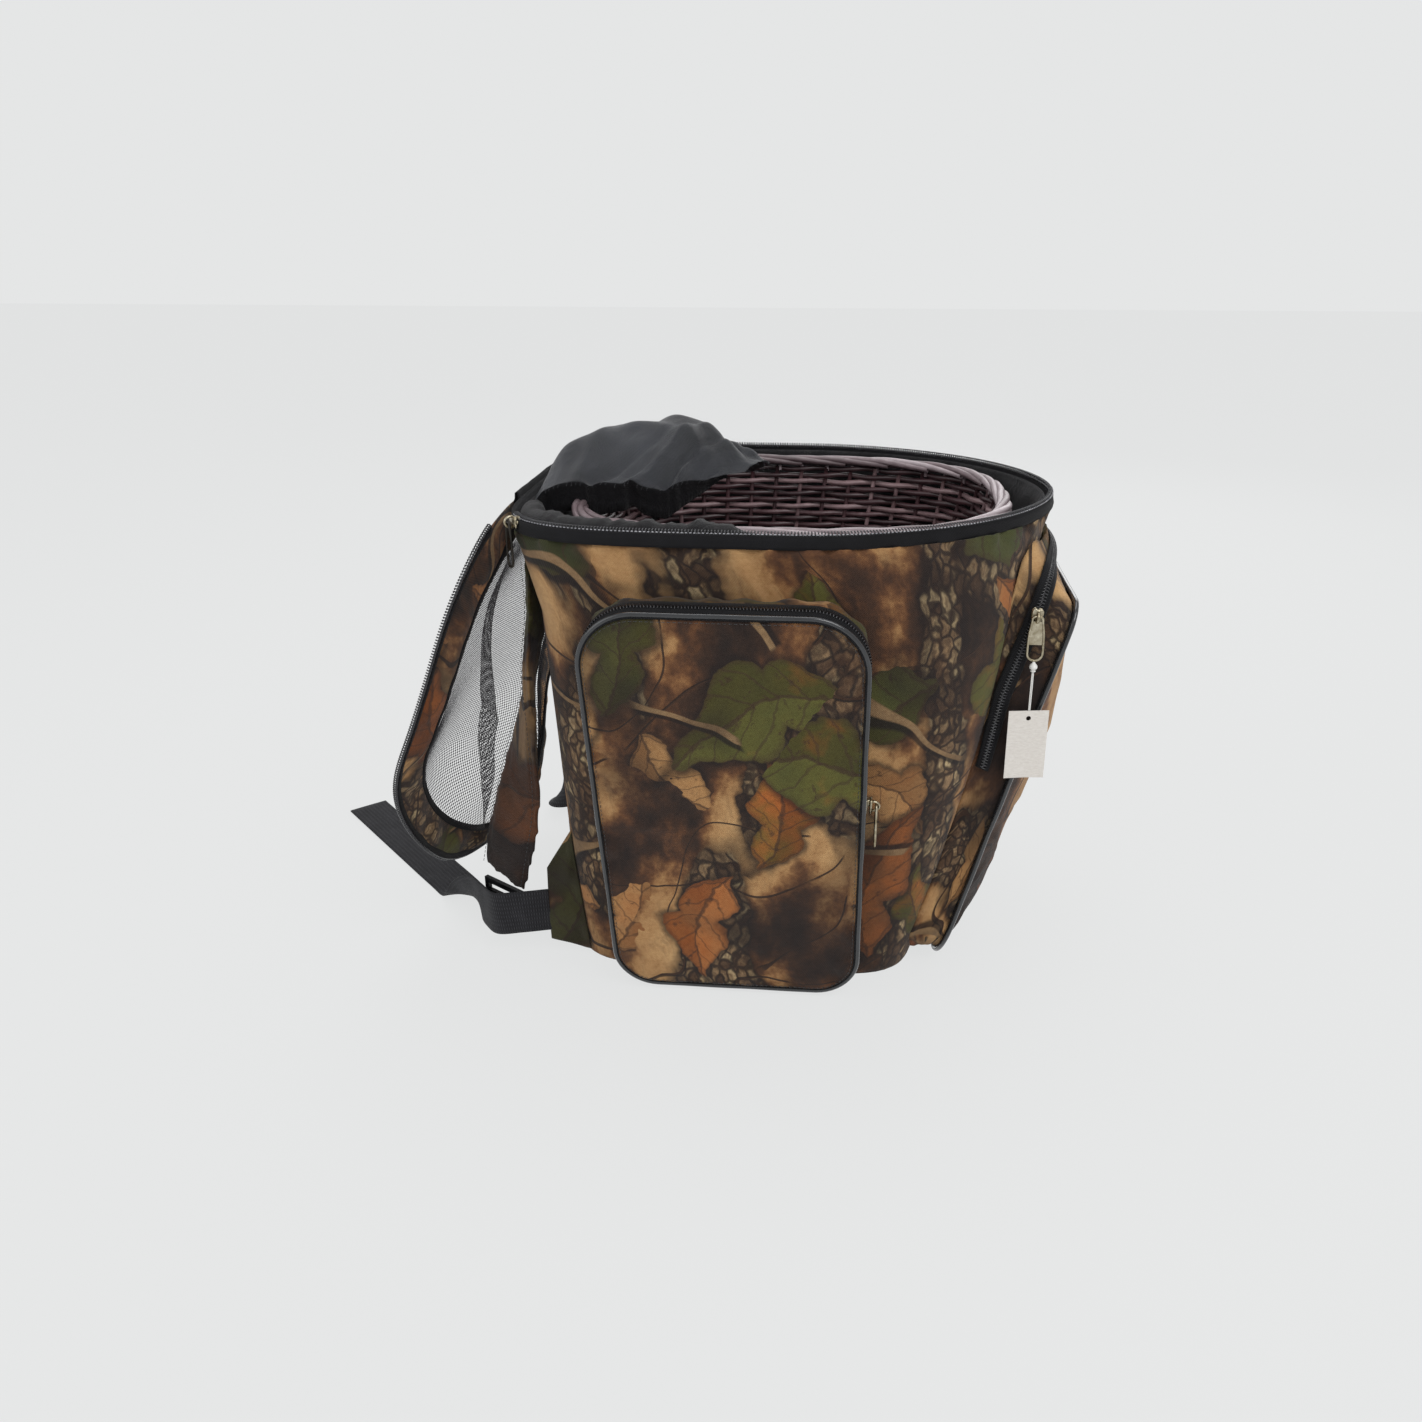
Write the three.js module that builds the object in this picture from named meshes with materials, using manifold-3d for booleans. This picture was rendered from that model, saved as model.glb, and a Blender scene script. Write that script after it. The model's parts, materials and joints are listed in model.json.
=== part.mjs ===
// A soft oval backpack that holds a removable wicker basket. Millimetres, +Z up, the front pocket towards -Y,
// the back panel and the shoulder straps towards +Y. The origin is on the floor under the bag.
import * as THREE from "three";
import { mergeVertices } from "three/addons/utils/BufferGeometryUtils.js";
import Module from "manifold-3d";

const wasm = await Module();
wasm.setup();

// Driving dimensions.
const FIT = 0.35; // gap between sewn or touching pieces
const SEAM = 0.7; // looser gap where a flat strip lies on a curved wall

const BAG = {
  height: 374, // floor to the top of the zip teeth round the mouth
  mouthHalfWidth: 174,
  mouthFront: 198, // mouth centre to its foremost point
  mouthBack: 202, // mouth centre to its hinge side
  mouthShift: 40, // the mouth's centre lies this far in front of the origin
  baseHalfWidth: 126,
  baseFront: 138,
  baseBack: 140,
  baseShift: 8,
  wall: 3,
  liningWall: 1.5,
  basePanel: 5,
  mouthTape: 7, // height of the black tape under the teeth
  lip: 6, // the lining's top edge stops this far below the teeth
};
const mouthFrontPower = 1.9;
const mouthBackPower = 5;
const baseFrontPower = 6;
const baseBackPower = 6;
// growth of the oval from the base to the mouth: share of the height, sideways share, share of the back
const growthShares = [
  [0, 0, 0], [0.25, 0.27, 0.14], [0.5, 0.53, 0.27], [0.8, 0.82, 0.45], [0.88, 0.89, 0.72], [0.95, 0.955, 0.95],
  [1, 1, 1],
];

const TEETH = { radius: 2 };
const teethSetShare = 0.5; // the row of teeth stands over the middle of the wall

const LID = {
  thickness: 2.5,
  band: 33, // width of the cloth band inside the zip
  hingeBand: 14, // width of the band along the hinge
  hingeInset: 0.5, // the band's edge stops this far from the hinge line
  binding: 5,
  lift: 0.4, // the closed lid clears the teeth of the mouth by this
  setBack: 2.2, // the hinge line lies this far behind the mouth
  netPitch: 32,
  netCord: 4.5,
  netThickness: 1.6,
};
const restTilt = 23; // degrees from plumb, hanging open behind the bag
const closedTurn = 270 - restTilt;
const hingeHalfAngle = 34; // degrees either side of straight back that the zip leaves free

const HINGE_TAPE = { halfLength: 74, height: 28, thickness: 1.1, clear: 0.85 };

const BASKET = {
  gap: 26, // from the lining to the widest point of the basket
  backGap: 30,
  wall: 6,
  floor: 6,
  footGap: 0.5,
  rimDrop: 6, // the border's top below the teeth
  border: 7, // half of the border's width
  borderRise: 9,
};
const basketFrontShare = 0.4; // how far the basket's front and back halves take a shape between the bag's two
const basketBackShare = 0.5;

const POCKET = {
  panel: 2.4,
  gusset: 2.2,
  piping: 3.4,
  zipWidth: 13,
  zipThickness: 1.6,
  seamDrift: 3,
};
const SIDE = {
  top: 320,
  bottom: 8,
  frontEdge: 98,
  backEdgeTop: 95,
  backEdgeBottom: 85,
  topRadius: 38,
  bottomRadius: 30,
  depth: 30,
  crown: 5,
  zipDepth: 4,
  topRise: 7,
  seat: 0.9, // from the bag's wall to the pocket's side wall
  zipSeat: 0.9, // from the side wall to the zip's tape
};
const FRONT = {
  top: 303,
  bottom: 8,
  halfWidth: 97,
  footHalfWidth: 108,
  topRadius: 18,
  bottomRadius: 28,
  footDepth: 18, // panel edge in front of the wall's foremost point, at the bottom
  headDepth: 29, // the same at the top
  crown: 33,
  zipDepth: 24,
  topRise: 44,
  seat: 2.8,
  zipSeat: 1.5,
};
const crownFallShare = 2.4; // how late the crown falls off towards the panel's edge
const frontCrownShares = [[0, 0.75], [0.2, 1], [0.62, 1], [0.85, 0.62], [1, 0.3]];
const sideCrownShares = [[0, 1], [1, 1]];
const lastShare = 0.97;
// the zips come down this share of a pocket's height, from its top
const sideZipShare = 0.62;
const frontZipShare = 0.46;

const SLIDER = { length: 13, width: 9, height: 4.5, bail: 5 };
const sliderNoseShare = 0.6;
const sliderBridgeShare = 0.7;
const PULL = { length: 32, width: 11, neck: 7, thickness: 1.6, rim: 1.5, bar: 1.3, play: 1.2 };
const MOUTH_SLIDER = { along: 10, drop: 4.8, reach: 6 }; // reach: points of the zip's line that it can run on
const TAG = { width: 30, height: 54, thickness: 0.9, hole: 1.8, holeInset: 6 };
const tagTurn = 8; // degrees
const STRING = { radius: 0.9, length: 30 };
const LOCK = { radius: 3, length: 8 };
const lockWaistShare = 0.5;

const BACK = { seat: 1.2, top: 272, bottom: 26, halfWidth: 92, radius: 26, thickness: 5, crown: 2 };

const STRAP = {
  width: 60,
  thickness: 10,
  standOff: 105,
  seat: 0.8, // from the back wall to the pad's face where it is sewn on
};
const leftStrapShares = [
  // pad widths in from the anchor, out from the back, up the height, turn of the pad
  [0.93, 0, 0.865, 0], [0.68, 0.035, 0.77, 0], [0.47, 0.1, 0.66, 0.1], [0.36, 0.17, 0.53, 0.45],
  [0.3, 0.28, 0.37, 0.9], [0.33, 0.39, 0.26, 1], [0.37, 0.5, 0.15, 1],
];
const rightStrapShares = [
  [0.93, 0, 0.865, 0], [0.74, 0.035, 0.77, 0], [0.64, 0.1, 0.66, 0], [0.6, 0.12, 0.53, 0],
  [0.6, 0.13, 0.37, 0], [0.6, 0.14, 0.26, 0], [0.6, 0.15, 0.178, 0],
];
const strapTurn = 58; // degrees
const WEB = { width: 38, thickness: 1.6, floorGap: 0.5 };
const leftWebShares = [
  // across the base's half width, out behind the base, height in webbing widths, lean off the floor
  [0.905, 0.17, 1.1, 1], [0.945, 0.38, 1.08, 1], [0.935, 0.59, 1.0, 1], [0.79, 0.74, 0.9, 1],
  [0.655, 0.85, 0.85, 0.9], [0.492, 0.97, 0.56, 0.6], [0.333, 1.07, 0.22, 0.22], [0.159, 1.21, 0.04, 0],
  [-0.2, 1.62, 0.04, 0], [-0.62, 2.1, 0.04, 0], [-1.05, 2.59, 0.04, 0],
];
const rightWebShares = [
  [0.905, 0.17, 1.1, 1], [0.937, 0.38, 1.1, 1], [0.965, 0.53, 1.0, 0.95], [1.1, 0.65, 0.66, 0.65],
  [1.27, 0.59, 0.3, 0.28], [1.4, 0.37, 0.04, 0], [1.5, -0.08, 0.04, 0], [1.56, -0.63, 0.04, 0],
];
const ANCHOR = { thickness: 4, height: 110, end: 66, drop: 6, endDrop: 14 };
const LADDER = { width: 48, height: 26, thickness: 3.5, bar: 4.5 };
const HAUL = { halfSpan: 19, drop: 24, width: 12, thickness: 2.4, standOff: 6, rise: 12 };

const FLAP = { thickness: 1.4, halfWidth: 68, length: 170, hump: 46, clear: 1.5 };
const flapShares = [
  // rows from the hinge to the free edge: height shares at five places across, near side first
  [0.0, 0.02, 0.04, 0.02, 0.0], [0.12, 0.36, 0.52, 0.5, 0.2], [0.2, 0.62, 0.86, 0.8, 0.36],
  [0.2, 0.7, 1.0, 0.9, 0.42], [0.15, 0.64, 1.0, 0.9, 0.42], [0.1, 0.52, 0.9, 0.84, 0.36],
  [0.04, 0.34, 0.66, 0.66, 0.26], [0.0, 0.12, 0.3, 0.36, 0.14],
];

const flapSkewShare = 0.12;
const flapNarrowShare = 0.45; // how much narrower the flap's free end is

// How finely round things are drawn.
const round = { outline: 40, arc: 4, coil: 5, arcRun: 4, border: 7, fine: 8 };
const zipSteps = 36;
const stringSteps = 8;
const sideSteps = { up: 3, across: 4 }; // points between a pocket's corners
const strapSteps = 12;
const webSteps = 34;
const haulSteps = 10;
const flapSteps = 14;
const curveTension = 0.5;

// Small helpers for numbers.
const rad = THREE.MathUtils.degToRad;
const mix = THREE.MathUtils.lerp;
const V = (x, y, z) => new THREE.Vector3(x, y, z);
const TINY = 1e-6;

function profile(table, share, column = 1) {
  const last = table.length - 1;
  if (share <= table[0][0]) return table[0][column];
  for (let i = 0; i < last; i++) {
    const [a, b] = [table[i], table[i + 1]];
    if (share <= b[0]) return mix(a[column], b[column], (share - a[0]) / (b[0] - a[0]));
  }
  return table[last][column];
}

// Closed solids from loops of points.
function solidFrom(points, triangles) {
  const g = new THREE.BufferGeometry();
  g.setAttribute("position", new THREE.Float32BufferAttribute(points.flatMap((p) => [p.x, p.y, p.z]), 3));
  g.setIndex(triangles.flat());
  let volume = 0;
  for (const [a, b, c] of triangles) {
    volume += points[a].dot(new THREE.Vector3().crossVectors(points[b], points[c]));
  }
  if (volume < 0) g.setIndex(triangles.map(([a, b, c]) => [a, c, b]).flat());
  const flat = g.toNonIndexed();
  flat.computeVertexNormals();
  return flat;
}

// two triangles for each place round a pair of loops, parted along the shorter diagonal
function stitch(points, triangles, from, to, n) {
  for (let j = 0; j < n; j++) {
    const k = (j + 1) % n;
    const [a, b, c, d] = [from + j, from + k, to + k, to + j];
    const one = points[a].distanceTo(points[c]);
    const other = points[b].distanceTo(points[d]);
    if (one < other + TINY) triangles.push([a, b, c], [a, c, d]);
    else triangles.push([a, b, d], [b, c, d]);
  }
}

// Loops of equal length joined in a cycle: a ring that is hollow in the middle.
function ringSolid(loops) {
  const n = loops[0].length;
  const points = loops.flat();
  const triangles = [];
  loops.forEach((_, i) => stitch(points, triangles, i * n, ((i + 1) % loops.length) * n, n));
  return solidFrom(points, triangles);
}

// Loops of equal length joined in a row and closed by a fan at each end.
function stackSolid(loops) {
  const n = loops[0].length;
  const points = loops.flat();
  const triangles = [];
  for (let i = 0; i + 1 < loops.length; i++) stitch(points, triangles, i * n, (i + 1) * n, n);
  const cap = (start, flip) => {
    const centre = V(0, 0, 0);
    for (let j = 0; j < n; j++) centre.add(points[start + j]);
    points.push(centre.divideScalar(n));
    const middle = points.length - 1;
    for (let j = 0; j < n; j++) {
      const k = (j + 1) % n;
      triangles.push(flip ? [start + k, start + j, middle] : [start + j, start + k, middle]);
    }
  };
  cap(0, true);
  cap((loops.length - 1) * n, false);
  return solidFrom(points, triangles);
}

// A round section swept along points, closed on itself or open.
function coil(path, radius, closed, sides = round.coil) {
  const loops = path.map((p, i) => {
    const before = path[closed ? (i + path.length - 1) % path.length : Math.max(i - 1, 0)];
    const after = path[closed ? (i + 1) % path.length : Math.min(i + 1, path.length - 1)];
    const along = after.clone().sub(before).normalize();
    const side = Math.abs(along.z) > 0.9 ? V(1, 0, 0) : V(0, 0, 1);
    const u = new THREE.Vector3().crossVectors(along, side).normalize();
    const v = new THREE.Vector3().crossVectors(along, u).normalize();
    return Array.from({ length: sides }, (_, j) => {
      const a = ((j + 0.5) / sides) * 2 * Math.PI;
      return p.clone().addScaledVector(u, radius * Math.cos(a)).addScaledVector(v, radius * Math.sin(a));
    });
  });
  return closed ? ringSolid(loops) : stackSolid(loops);
}

function toManifold(geometry) {
  const g = geometry.clone();
  for (const name of Object.keys(g.attributes)) if (name !== "position") g.deleteAttribute(name);
  const merged = mergeVertices(g.index ? g.toNonIndexed() : g, 1e-3);
  return new wasm.Manifold(new wasm.Mesh({
    numProp: 3,
    vertProperties: new Float32Array(merged.attributes.position.array),
    triVerts: new Uint32Array(merged.index.array),
  }));
}

function fromManifold(solid) {
  const m = solid.getMesh();
  const g = new THREE.BufferGeometry();
  g.setAttribute("position", new THREE.Float32BufferAttribute(m.vertProperties, m.numProp));
  g.setIndex(Array.from(m.triVerts));
  const flat = g.toNonIndexed();
  flat.computeVertexNormals();
  return flat;
}

// The bag's wall.
// half sizes of the oval at a height, with its centre and the powers of its front and back halves
function oval(z, grow = 0) {
  const share = THREE.MathUtils.clamp(z / BAG.height, 0, 1);
  const side = profile(growthShares, share, 1);
  const back = profile(growthShares, share, 2);
  const centre = -mix(BAG.baseShift, BAG.mouthShift, side);
  const backLine = mix(BAG.baseBack - BAG.baseShift, BAG.mouthBack - BAG.mouthShift, back);
  return {
    half: mix(BAG.baseHalfWidth, BAG.mouthHalfWidth, side) + grow,
    front: mix(BAG.baseFront, BAG.mouthFront, side) + grow,
    back: backLine - centre + grow,
    centre,
    frontPower: mix(baseFrontPower, mouthFrontPower, side),
    backPower: mix(baseBackPower, mouthBackPower, side),
  };
}

function ovalPoint(o, angle, z) {
  const c = Math.cos(angle);
  const s = Math.sin(angle);
  const reach = s < 0 ? o.front : o.back;
  const power = s < 0 ? o.frontPower : o.backPower;
  const r = (Math.abs(c / o.half) ** power + Math.abs(s / reach) ** power) ** (-1 / power);
  return V(r * c, o.centre + r * s, z);
}

function ovalLoop(z, grow = 0, n = round.outline) {
  const o = oval(z, grow);
  return Array.from({ length: n }, (_, i) => ovalPoint(o, (i / n) * 2 * Math.PI, z));
}

// how far the wall reaches sideways at a place along the bag, and forwards or back at a place across it,
// on the straight lines that join the wall's levels
function onWall(z, reachAt) {
  const levels = growthShares.map(([share]) => share * BAG.height);
  const i = Math.max(levels.findIndex((level) => z <= level), 1);
  const t = (z - levels[i - 1]) / (levels[i] - levels[i - 1]);
  return mix(reachAt(oval(levels[i - 1])), reachAt(oval(levels[i])), t);
}

const rest = (share, power) => (1 - Math.min(Math.abs(share), 1) ** power) ** (1 / power);

function wallX(y, z) {
  return onWall(z, (o) => {
    const [reach, power] = y < o.centre ? [o.front, o.frontPower] : [o.back, o.backPower];
    return o.half * rest((y - o.centre) / reach, power);
  });
}

const wallFrontY = (x, z) => onWall(z, (o) => o.centre - o.front * rest(x / o.half, o.frontPower));
const wallBackY = (x, z) => onWall(z, (o) => o.centre + o.back * rest(x / o.half, o.backPower));

const tapeTop = BAG.height - 2 * TEETH.radius - FIT;
const tapeFoot = tapeTop - BAG.mouthTape;
const wallTop = tapeFoot - FIT;
const liningTop = BAG.height - BAG.lip;
const liningFoot = BAG.basePanel + FIT;
const innerLevels = [...growthShares.slice(1, -1).map(([share]) => share * BAG.height), wallTop];
const wallLevels = [0, liningFoot, ...innerLevels];
const liningOut = -(BAG.wall + SEAM);
const liningIn = liningOut - BAG.liningWall;

function bagBody() {
  const outside = wallLevels.map((z) => ovalLoop(z));
  const inside = wallLevels.map((z) => ovalLoop(z, -BAG.wall)).reverse();
  return ringSolid([...outside, ...inside]);
}

function basePanel() {
  const grow = -(BAG.wall + FIT);
  return stackSolid([ovalLoop(0, grow), ovalLoop(BAG.basePanel, grow)]);
}

function bagLining() {
  const levels = [liningFoot, ...innerLevels, liningTop];
  const inner = [liningFoot + BAG.liningWall, ...innerLevels, liningTop].reverse();
  return stackSolid([
    ...levels.map((z) => ovalLoop(z, liningOut)),
    ...inner.map((z) => ovalLoop(z, liningIn)),
  ]);
}

function mouthTape() {
  return ringSolid([
    ovalLoop(tapeFoot), ovalLoop(tapeTop),
    ovalLoop(tapeTop, -BAG.wall), ovalLoop(tapeFoot, -BAG.wall),
  ]);
}

// points round the mouth from one end of the zip to the other, by way of the front
function zipPath(z, grow) {
  const o = oval(BAG.height, grow);
  const start = rad(90 + hingeHalfAngle);
  const sweep = rad(360 - 2 * hingeHalfAngle);
  return Array.from({ length: zipSteps + 1 }, (_, i) => ovalPoint(o, start + (sweep * i) / zipSteps, z));
}

const teethSet = -BAG.wall * teethSetShare;
const mouthTeeth = () => coil(zipPath(BAG.height - TEETH.radius, teethSet), TEETH.radius, false);

// The lid, drawn closed, about its hinge line.
const hingeY = BAG.mouthBack - BAG.mouthShift + LID.setBack;
const hingeZ = BAG.height + LID.lift + TEETH.radius;
const lidEdge = teethSet - TEETH.radius - 2 * SEAM;

function lidOutline(inset, hingeInset) {
  const o = oval(BAG.height, lidEdge);
  const shape = {
    ...o, half: o.half - inset, front: o.front - inset, back: o.back - hingeInset,
  };
  return Array.from({ length: round.outline }, (_, i) =>
    ovalPoint(shape, (i / round.outline) * 2 * Math.PI, 0).sub(V(0, hingeY, 0)));
}

function flatRing(outer, inner, thickness) {
  const at = (loop, z) => loop.map((p) => V(p.x, p.y, z));
  const h = thickness / 2;
  return ringSolid([at(outer, -h), at(outer, h), at(inner, h), at(inner, -h)]);
}

// the band, whose back edge runs on to the hinge line over the length of the hinge tape
function lidBand() {
  const outer = lidOutline(0, 0).map((p) =>
    (p.y > -LID.band && Math.abs(p.x) < HINGE_TAPE.halfLength ? V(p.x, -LID.hingeInset, 0) : p));
  return flatRing(outer, lidOutline(LID.band, LID.hingeBand), LID.thickness);
}

const lidBinding = () => flatRing(
  lidOutline(LID.band + FIT, LID.hingeBand + FIT),
  lidOutline(LID.band + LID.binding, LID.hingeBand + LID.binding), LID.thickness);

function lidTeeth() {
  const path = zipPath(0, teethSet).map((p) => p.sub(V(0, hingeY, 0)));
  return coil(path, TEETH.radius, false);
}

// the net: a plate inside the binding with a square grid of openings clear of its edge
function lidNet() {
  const inset = LID.band + LID.binding + FIT;
  const hingeInset = LID.hingeBand + LID.binding + FIT;
  const edge = lidOutline(inset, hingeInset);
  const safe = lidOutline(inset + LID.netCord, hingeInset + LID.netCord);
  const inside = (x, y) => {
    let hit = false;
    safe.forEach((a, i) => {
      const b = safe[(i + 1) % safe.length];
      if (a.y > y !== b.y > y && x < a.x + ((y - a.y) / (b.y - a.y)) * (b.x - a.x)) hit = !hit;
    });
    return hit;
  };
  const gap = LID.netPitch - LID.netCord;
  const half = gap / 2;
  const ys = edge.map((p) => p.y);
  const middle = (Math.min(...ys) + Math.max(...ys)) / 2;
  const reach = Math.ceil((Math.max(...ys) - Math.min(...ys)) / 2 / LID.netPitch);
  const h = LID.netThickness / 2;
  const plate = toManifold(stackSolid([-h, h].map((z) => edge.map((p) => V(p.x, p.y, z)))));
  const openings = [];
  for (let i = -reach; i <= reach; i++) {
    for (let j = -reach; j <= reach; j++) {
      const x = i * LID.netPitch;
      const y = middle + j * LID.netPitch;
      const corners = [[-half, -half], [half, -half], [half, half], [-half, half]];
      if (!corners.every(([a, b]) => inside(x + a, y + b))) continue;
      openings.push(toManifold(new THREE.BoxGeometry(gap, gap, 2 * LID.netThickness).translate(x, y, 0)));
    }
  }
  return fromManifold(wasm.Manifold.difference([plate, ...openings]));
}

function hingeTape() {
  const back = BAG.mouthBack - BAG.mouthShift + FIT;
  const top = hingeZ - LID.thickness / 2 - HINGE_TAPE.clear;
  const g = new THREE.BoxGeometry(2 * HINGE_TAPE.halfLength, HINGE_TAPE.thickness, HINGE_TAPE.height);
  return g.translate(0, back + HINGE_TAPE.thickness / 2, top - HINGE_TAPE.height / 2);
}

// The basket, which stands on the lining's floor.
const basketFoot = liningFoot + BAG.liningWall + BASKET.footGap;
const borderTop = BAG.height - BASKET.rimDrop;
const basketTop = borderTop - BASKET.borderRise - FIT;

function basketLoop(z, grow) {
  const o = oval(z, liningIn - BASKET.gap + grow);
  o.back -= BASKET.backGap - BASKET.gap;
  const power = (o.frontPower + o.backPower) / 2;
  const shape = { ...o, frontPower: mix(o.frontPower, power, basketFrontShare) };
  shape.backPower = mix(o.backPower, o.frontPower, basketBackShare);
  return Array.from({ length: round.outline }, (_, i) =>
    ovalPoint(shape, (i / round.outline) * 2 * Math.PI, z));
}

const basketLevels = [basketFoot, ...innerLevels.filter((z) => z < basketTop - BASKET.wall), basketTop];

function basketWall() {
  return ringSolid([
    ...basketLevels.map((z) => basketLoop(z, 0)),
    ...basketLevels.map((z) => basketLoop(z, -BASKET.wall)).reverse(),
  ]);
}

function basketBase() {
  const grow = -(BASKET.wall + FIT);
  return stackSolid([basketLoop(basketFoot, grow), basketLoop(basketFoot + BASKET.floor, grow)]);
}

function basketBorder() {
  const section = Array.from({ length: round.border }, (_, i) => {
    const a = (i / (round.border)) * 2 * Math.PI;
    return [BASKET.border * Math.cos(a), (BASKET.borderRise / 2) * Math.sin(a)];
  });
  const middle = -BASKET.wall / 2;
  const height = borderTop - BASKET.borderRise / 2;
  return ringSolid(section.map(([out, up]) =>
    basketLoop(basketTop, middle + out).map((p) => V(p.x, p.y, height + up))));
}

// Pockets. An outline lies on a pocket's own sheet: s runs along the wall, h is the height.
function roundedOutline(left, right, leftFoot, rightFoot, bottom, top, topRadius, bottomRadius) {
  const corners = [
    [rightFoot, bottom, bottomRadius, -90], [right, top, topRadius, 0],
    [left, top, topRadius, 90], [leftFoot, bottom, bottomRadius, 180],
  ];
  const arcs = corners.map(([s, h, r, start], c) => {
    const inS = c === 0 || c === 1 ? -r : r;
    const inH = c === 1 || c === 2 ? -r : r;
    return Array.from({ length: round.arc }, (_, i) => {
      const a = rad(start + (90 * i) / (round.arc - 1));
      return [s + inS + r * Math.cos(a), h + inH + r * Math.sin(a)];
    });
  });
  return arcs.flatMap((arc, c) => {
    const next = arcs[(c + 1) % arcs.length][0];
    const last = arc[arc.length - 1];
    const steps = c % 2 === 0 ? sideSteps.up : sideSteps.across;
    const run = Array.from({ length: steps }, (_, i) => {
      const t = (i + 1) / (steps + 1);
      return [mix(last[0], next[0], t), mix(last[1], next[1], t)];
    });
    return [...arc, ...run];
  });
}

function outwards(outline) {
  return outline.map((_, i) => {
    const a = outline[(i + outline.length - 1) % outline.length];
    const b = outline[(i + 1) % outline.length];
    const d = new THREE.Vector2(b[1] - a[1], a[0] - b[0]).normalize();
    return [d.x, d.y];
  });
}

// one pocket's sheet, wall and sizes; side is -1 or 1 for the pockets left and right, 0 for the front one
function pocketOn(side) {
  if (side) {
    const outline = roundedOutline(-SIDE.frontEdge, SIDE.backEdgeTop, -SIDE.frontEdge, SIDE.backEdgeBottom,
      SIDE.bottom, SIDE.top, SIDE.topRadius, SIDE.bottomRadius);
    const middle = [(SIDE.backEdgeBottom - SIDE.frontEdge) / 2, (SIDE.top + SIDE.bottom) / 2];
    return {
      outline, normals: outwards(outline), middle, size: SIDE, crownShares: sideCrownShares,
      zipShare: sideZipShare,
      sheet: (s, h, out) => V(side * (oval(h).half + SIDE.depth + out), s, h),
      wall: (s, h, out) => V(side * (wallX(s, h) + out), s, h),
      flat: (s, h) => V(0, s, h),
    };
  }
  const w = FRONT.halfWidth;
  const foot = FRONT.footHalfWidth;
  const outline = roundedOutline(-w, w, -foot, foot, FRONT.bottom, FRONT.top, FRONT.topRadius, FRONT.bottomRadius);
  return {
    outline, normals: outwards(outline), middle: [0, (FRONT.top + FRONT.bottom) / 2], size: FRONT,
    crownShares: frontCrownShares, zipShare: frontZipShare,
    sheet: (s, h, out) => {
      const share = h / FRONT.top;
      const nose = mix(-BAG.baseFront - BAG.baseShift, wallFrontY(0, FRONT.top), share);
      return V(s, nose - mix(FRONT.footDepth, FRONT.headDepth, share) - out, h);
    },
    wall: (s, h, out) => V(s, wallFrontY(s, h) - out, h),
    flat: (s, h) => V(s, 0, h),
  };
}

const shrinkShares = [1, 0.64, 0.26];

function pocketPanel(p) {
  const face = (shrink, back) => p.outline.map(([s, h]) => {
    const ss = mix(p.middle[0], s, shrink);
    const hh = mix(p.middle[1], h, shrink);
    const share = (hh - p.size.bottom) / (p.size.top - p.size.bottom);
    const crown = p.size.crown * profile(p.crownShares, share) * (1 - shrink ** crownFallShare);
    return p.sheet(ss, hh, crown - (back ? POCKET.panel : 0));
  });
  return stackSolid([
    ...shrinkShares.slice().reverse().map((f) => face(f, false)),
    ...shrinkShares.map((f) => face(f, true)),
  ]);
}

function pocketPiping(p) {
  const out = POCKET.piping + FIT;
  const path = p.outline.map(([s, h], i) => {
    const [ns, nh] = p.normals[i];
    return p.sheet(s + ns * out, Math.max(h + nh * out, out), -POCKET.panel / 2);
  });
  return coil(path, POCKET.piping, true);
}

// a point of the side wall: t runs from the panel, 0, to the bag, 1; out is measured along the outline's normal
function gussetAt(p, [s, h], [ns, nh], t, out) {
  const up = ((h - p.size.bottom) / (p.size.top - p.size.bottom)) ** 2 * p.size.topRise;
  const from = p.sheet(s, h, -POCKET.panel - FIT);
  const to = p.wall(s + ns * POCKET.seamDrift, Math.min(h + up, wallTop - SEAM), p.size.seat);
  const at = from.lerp(to, t).add(p.flat(ns * out, nh * out));
  at.z = Math.max(at.z, FIT);
  return at;
}

const gussetPoint = (p, i, t, out) => gussetAt(p, p.outline[i], p.normals[i], t, out);

function pocketGusset(p) {
  const bands = p.outline.map((q, i) => [0, ...zipBand(p, q, p.normals[i]), 1]);
  const loop = (k, out) => bands.map((shares, i) => gussetPoint(p, i, shares[k], out));
  const across = [0, 1, 2, 3];
  return ringSolid([
    ...across.map((k) => loop(k, 0)),
    ...across.slice().reverse().map((k) => loop(k, -POCKET.gusset)),
  ]);
}

// the outline's points that carry the zip, from one lower end over the top to the other
const zipFoot = (p) => mix(p.size.top, p.size.bottom, p.zipShare);
const zipRun = (p) => p.outline.map((q, i) => [q, i]).filter(([q]) => q[1] > zipFoot(p)).map(([, i]) => i);

// shares of the side wall's depth between which the tape lies
function zipBand(p, q, n) {
  const deep = gussetAt(p, q, n, 0, 0).distanceTo(gussetAt(p, q, n, 1, 0));
  const far = p.size.zipDepth + POCKET.zipWidth;
  const reach = Math.min(far / deep, lastShare);
  return [reach * (p.size.zipDepth / far), reach];
}

function pocketZip(p) {
  const low = p.size.zipSeat;
  const high = low + POCKET.zipThickness;
  return stackSolid(zipRun(p).map((i) => {
    const [a, b] = zipBand(p, p.outline[i], p.normals[i]);
    return [[a, low], [b, low], [b, high], [a, high]].map(([t, out]) => gussetPoint(p, i, t, out));
  }));
}

// A slider and its pull tab. along runs up the zip, out away from the cloth.
function basis(at, along, out) {
  const z = along.clone().normalize();
  const y = out.clone().addScaledVector(z, -out.dot(z)).normalize();
  const x = new THREE.Vector3().crossVectors(y, z);
  return new THREE.Matrix4().makeBasis(x, y, z).setPosition(at);
}

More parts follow.
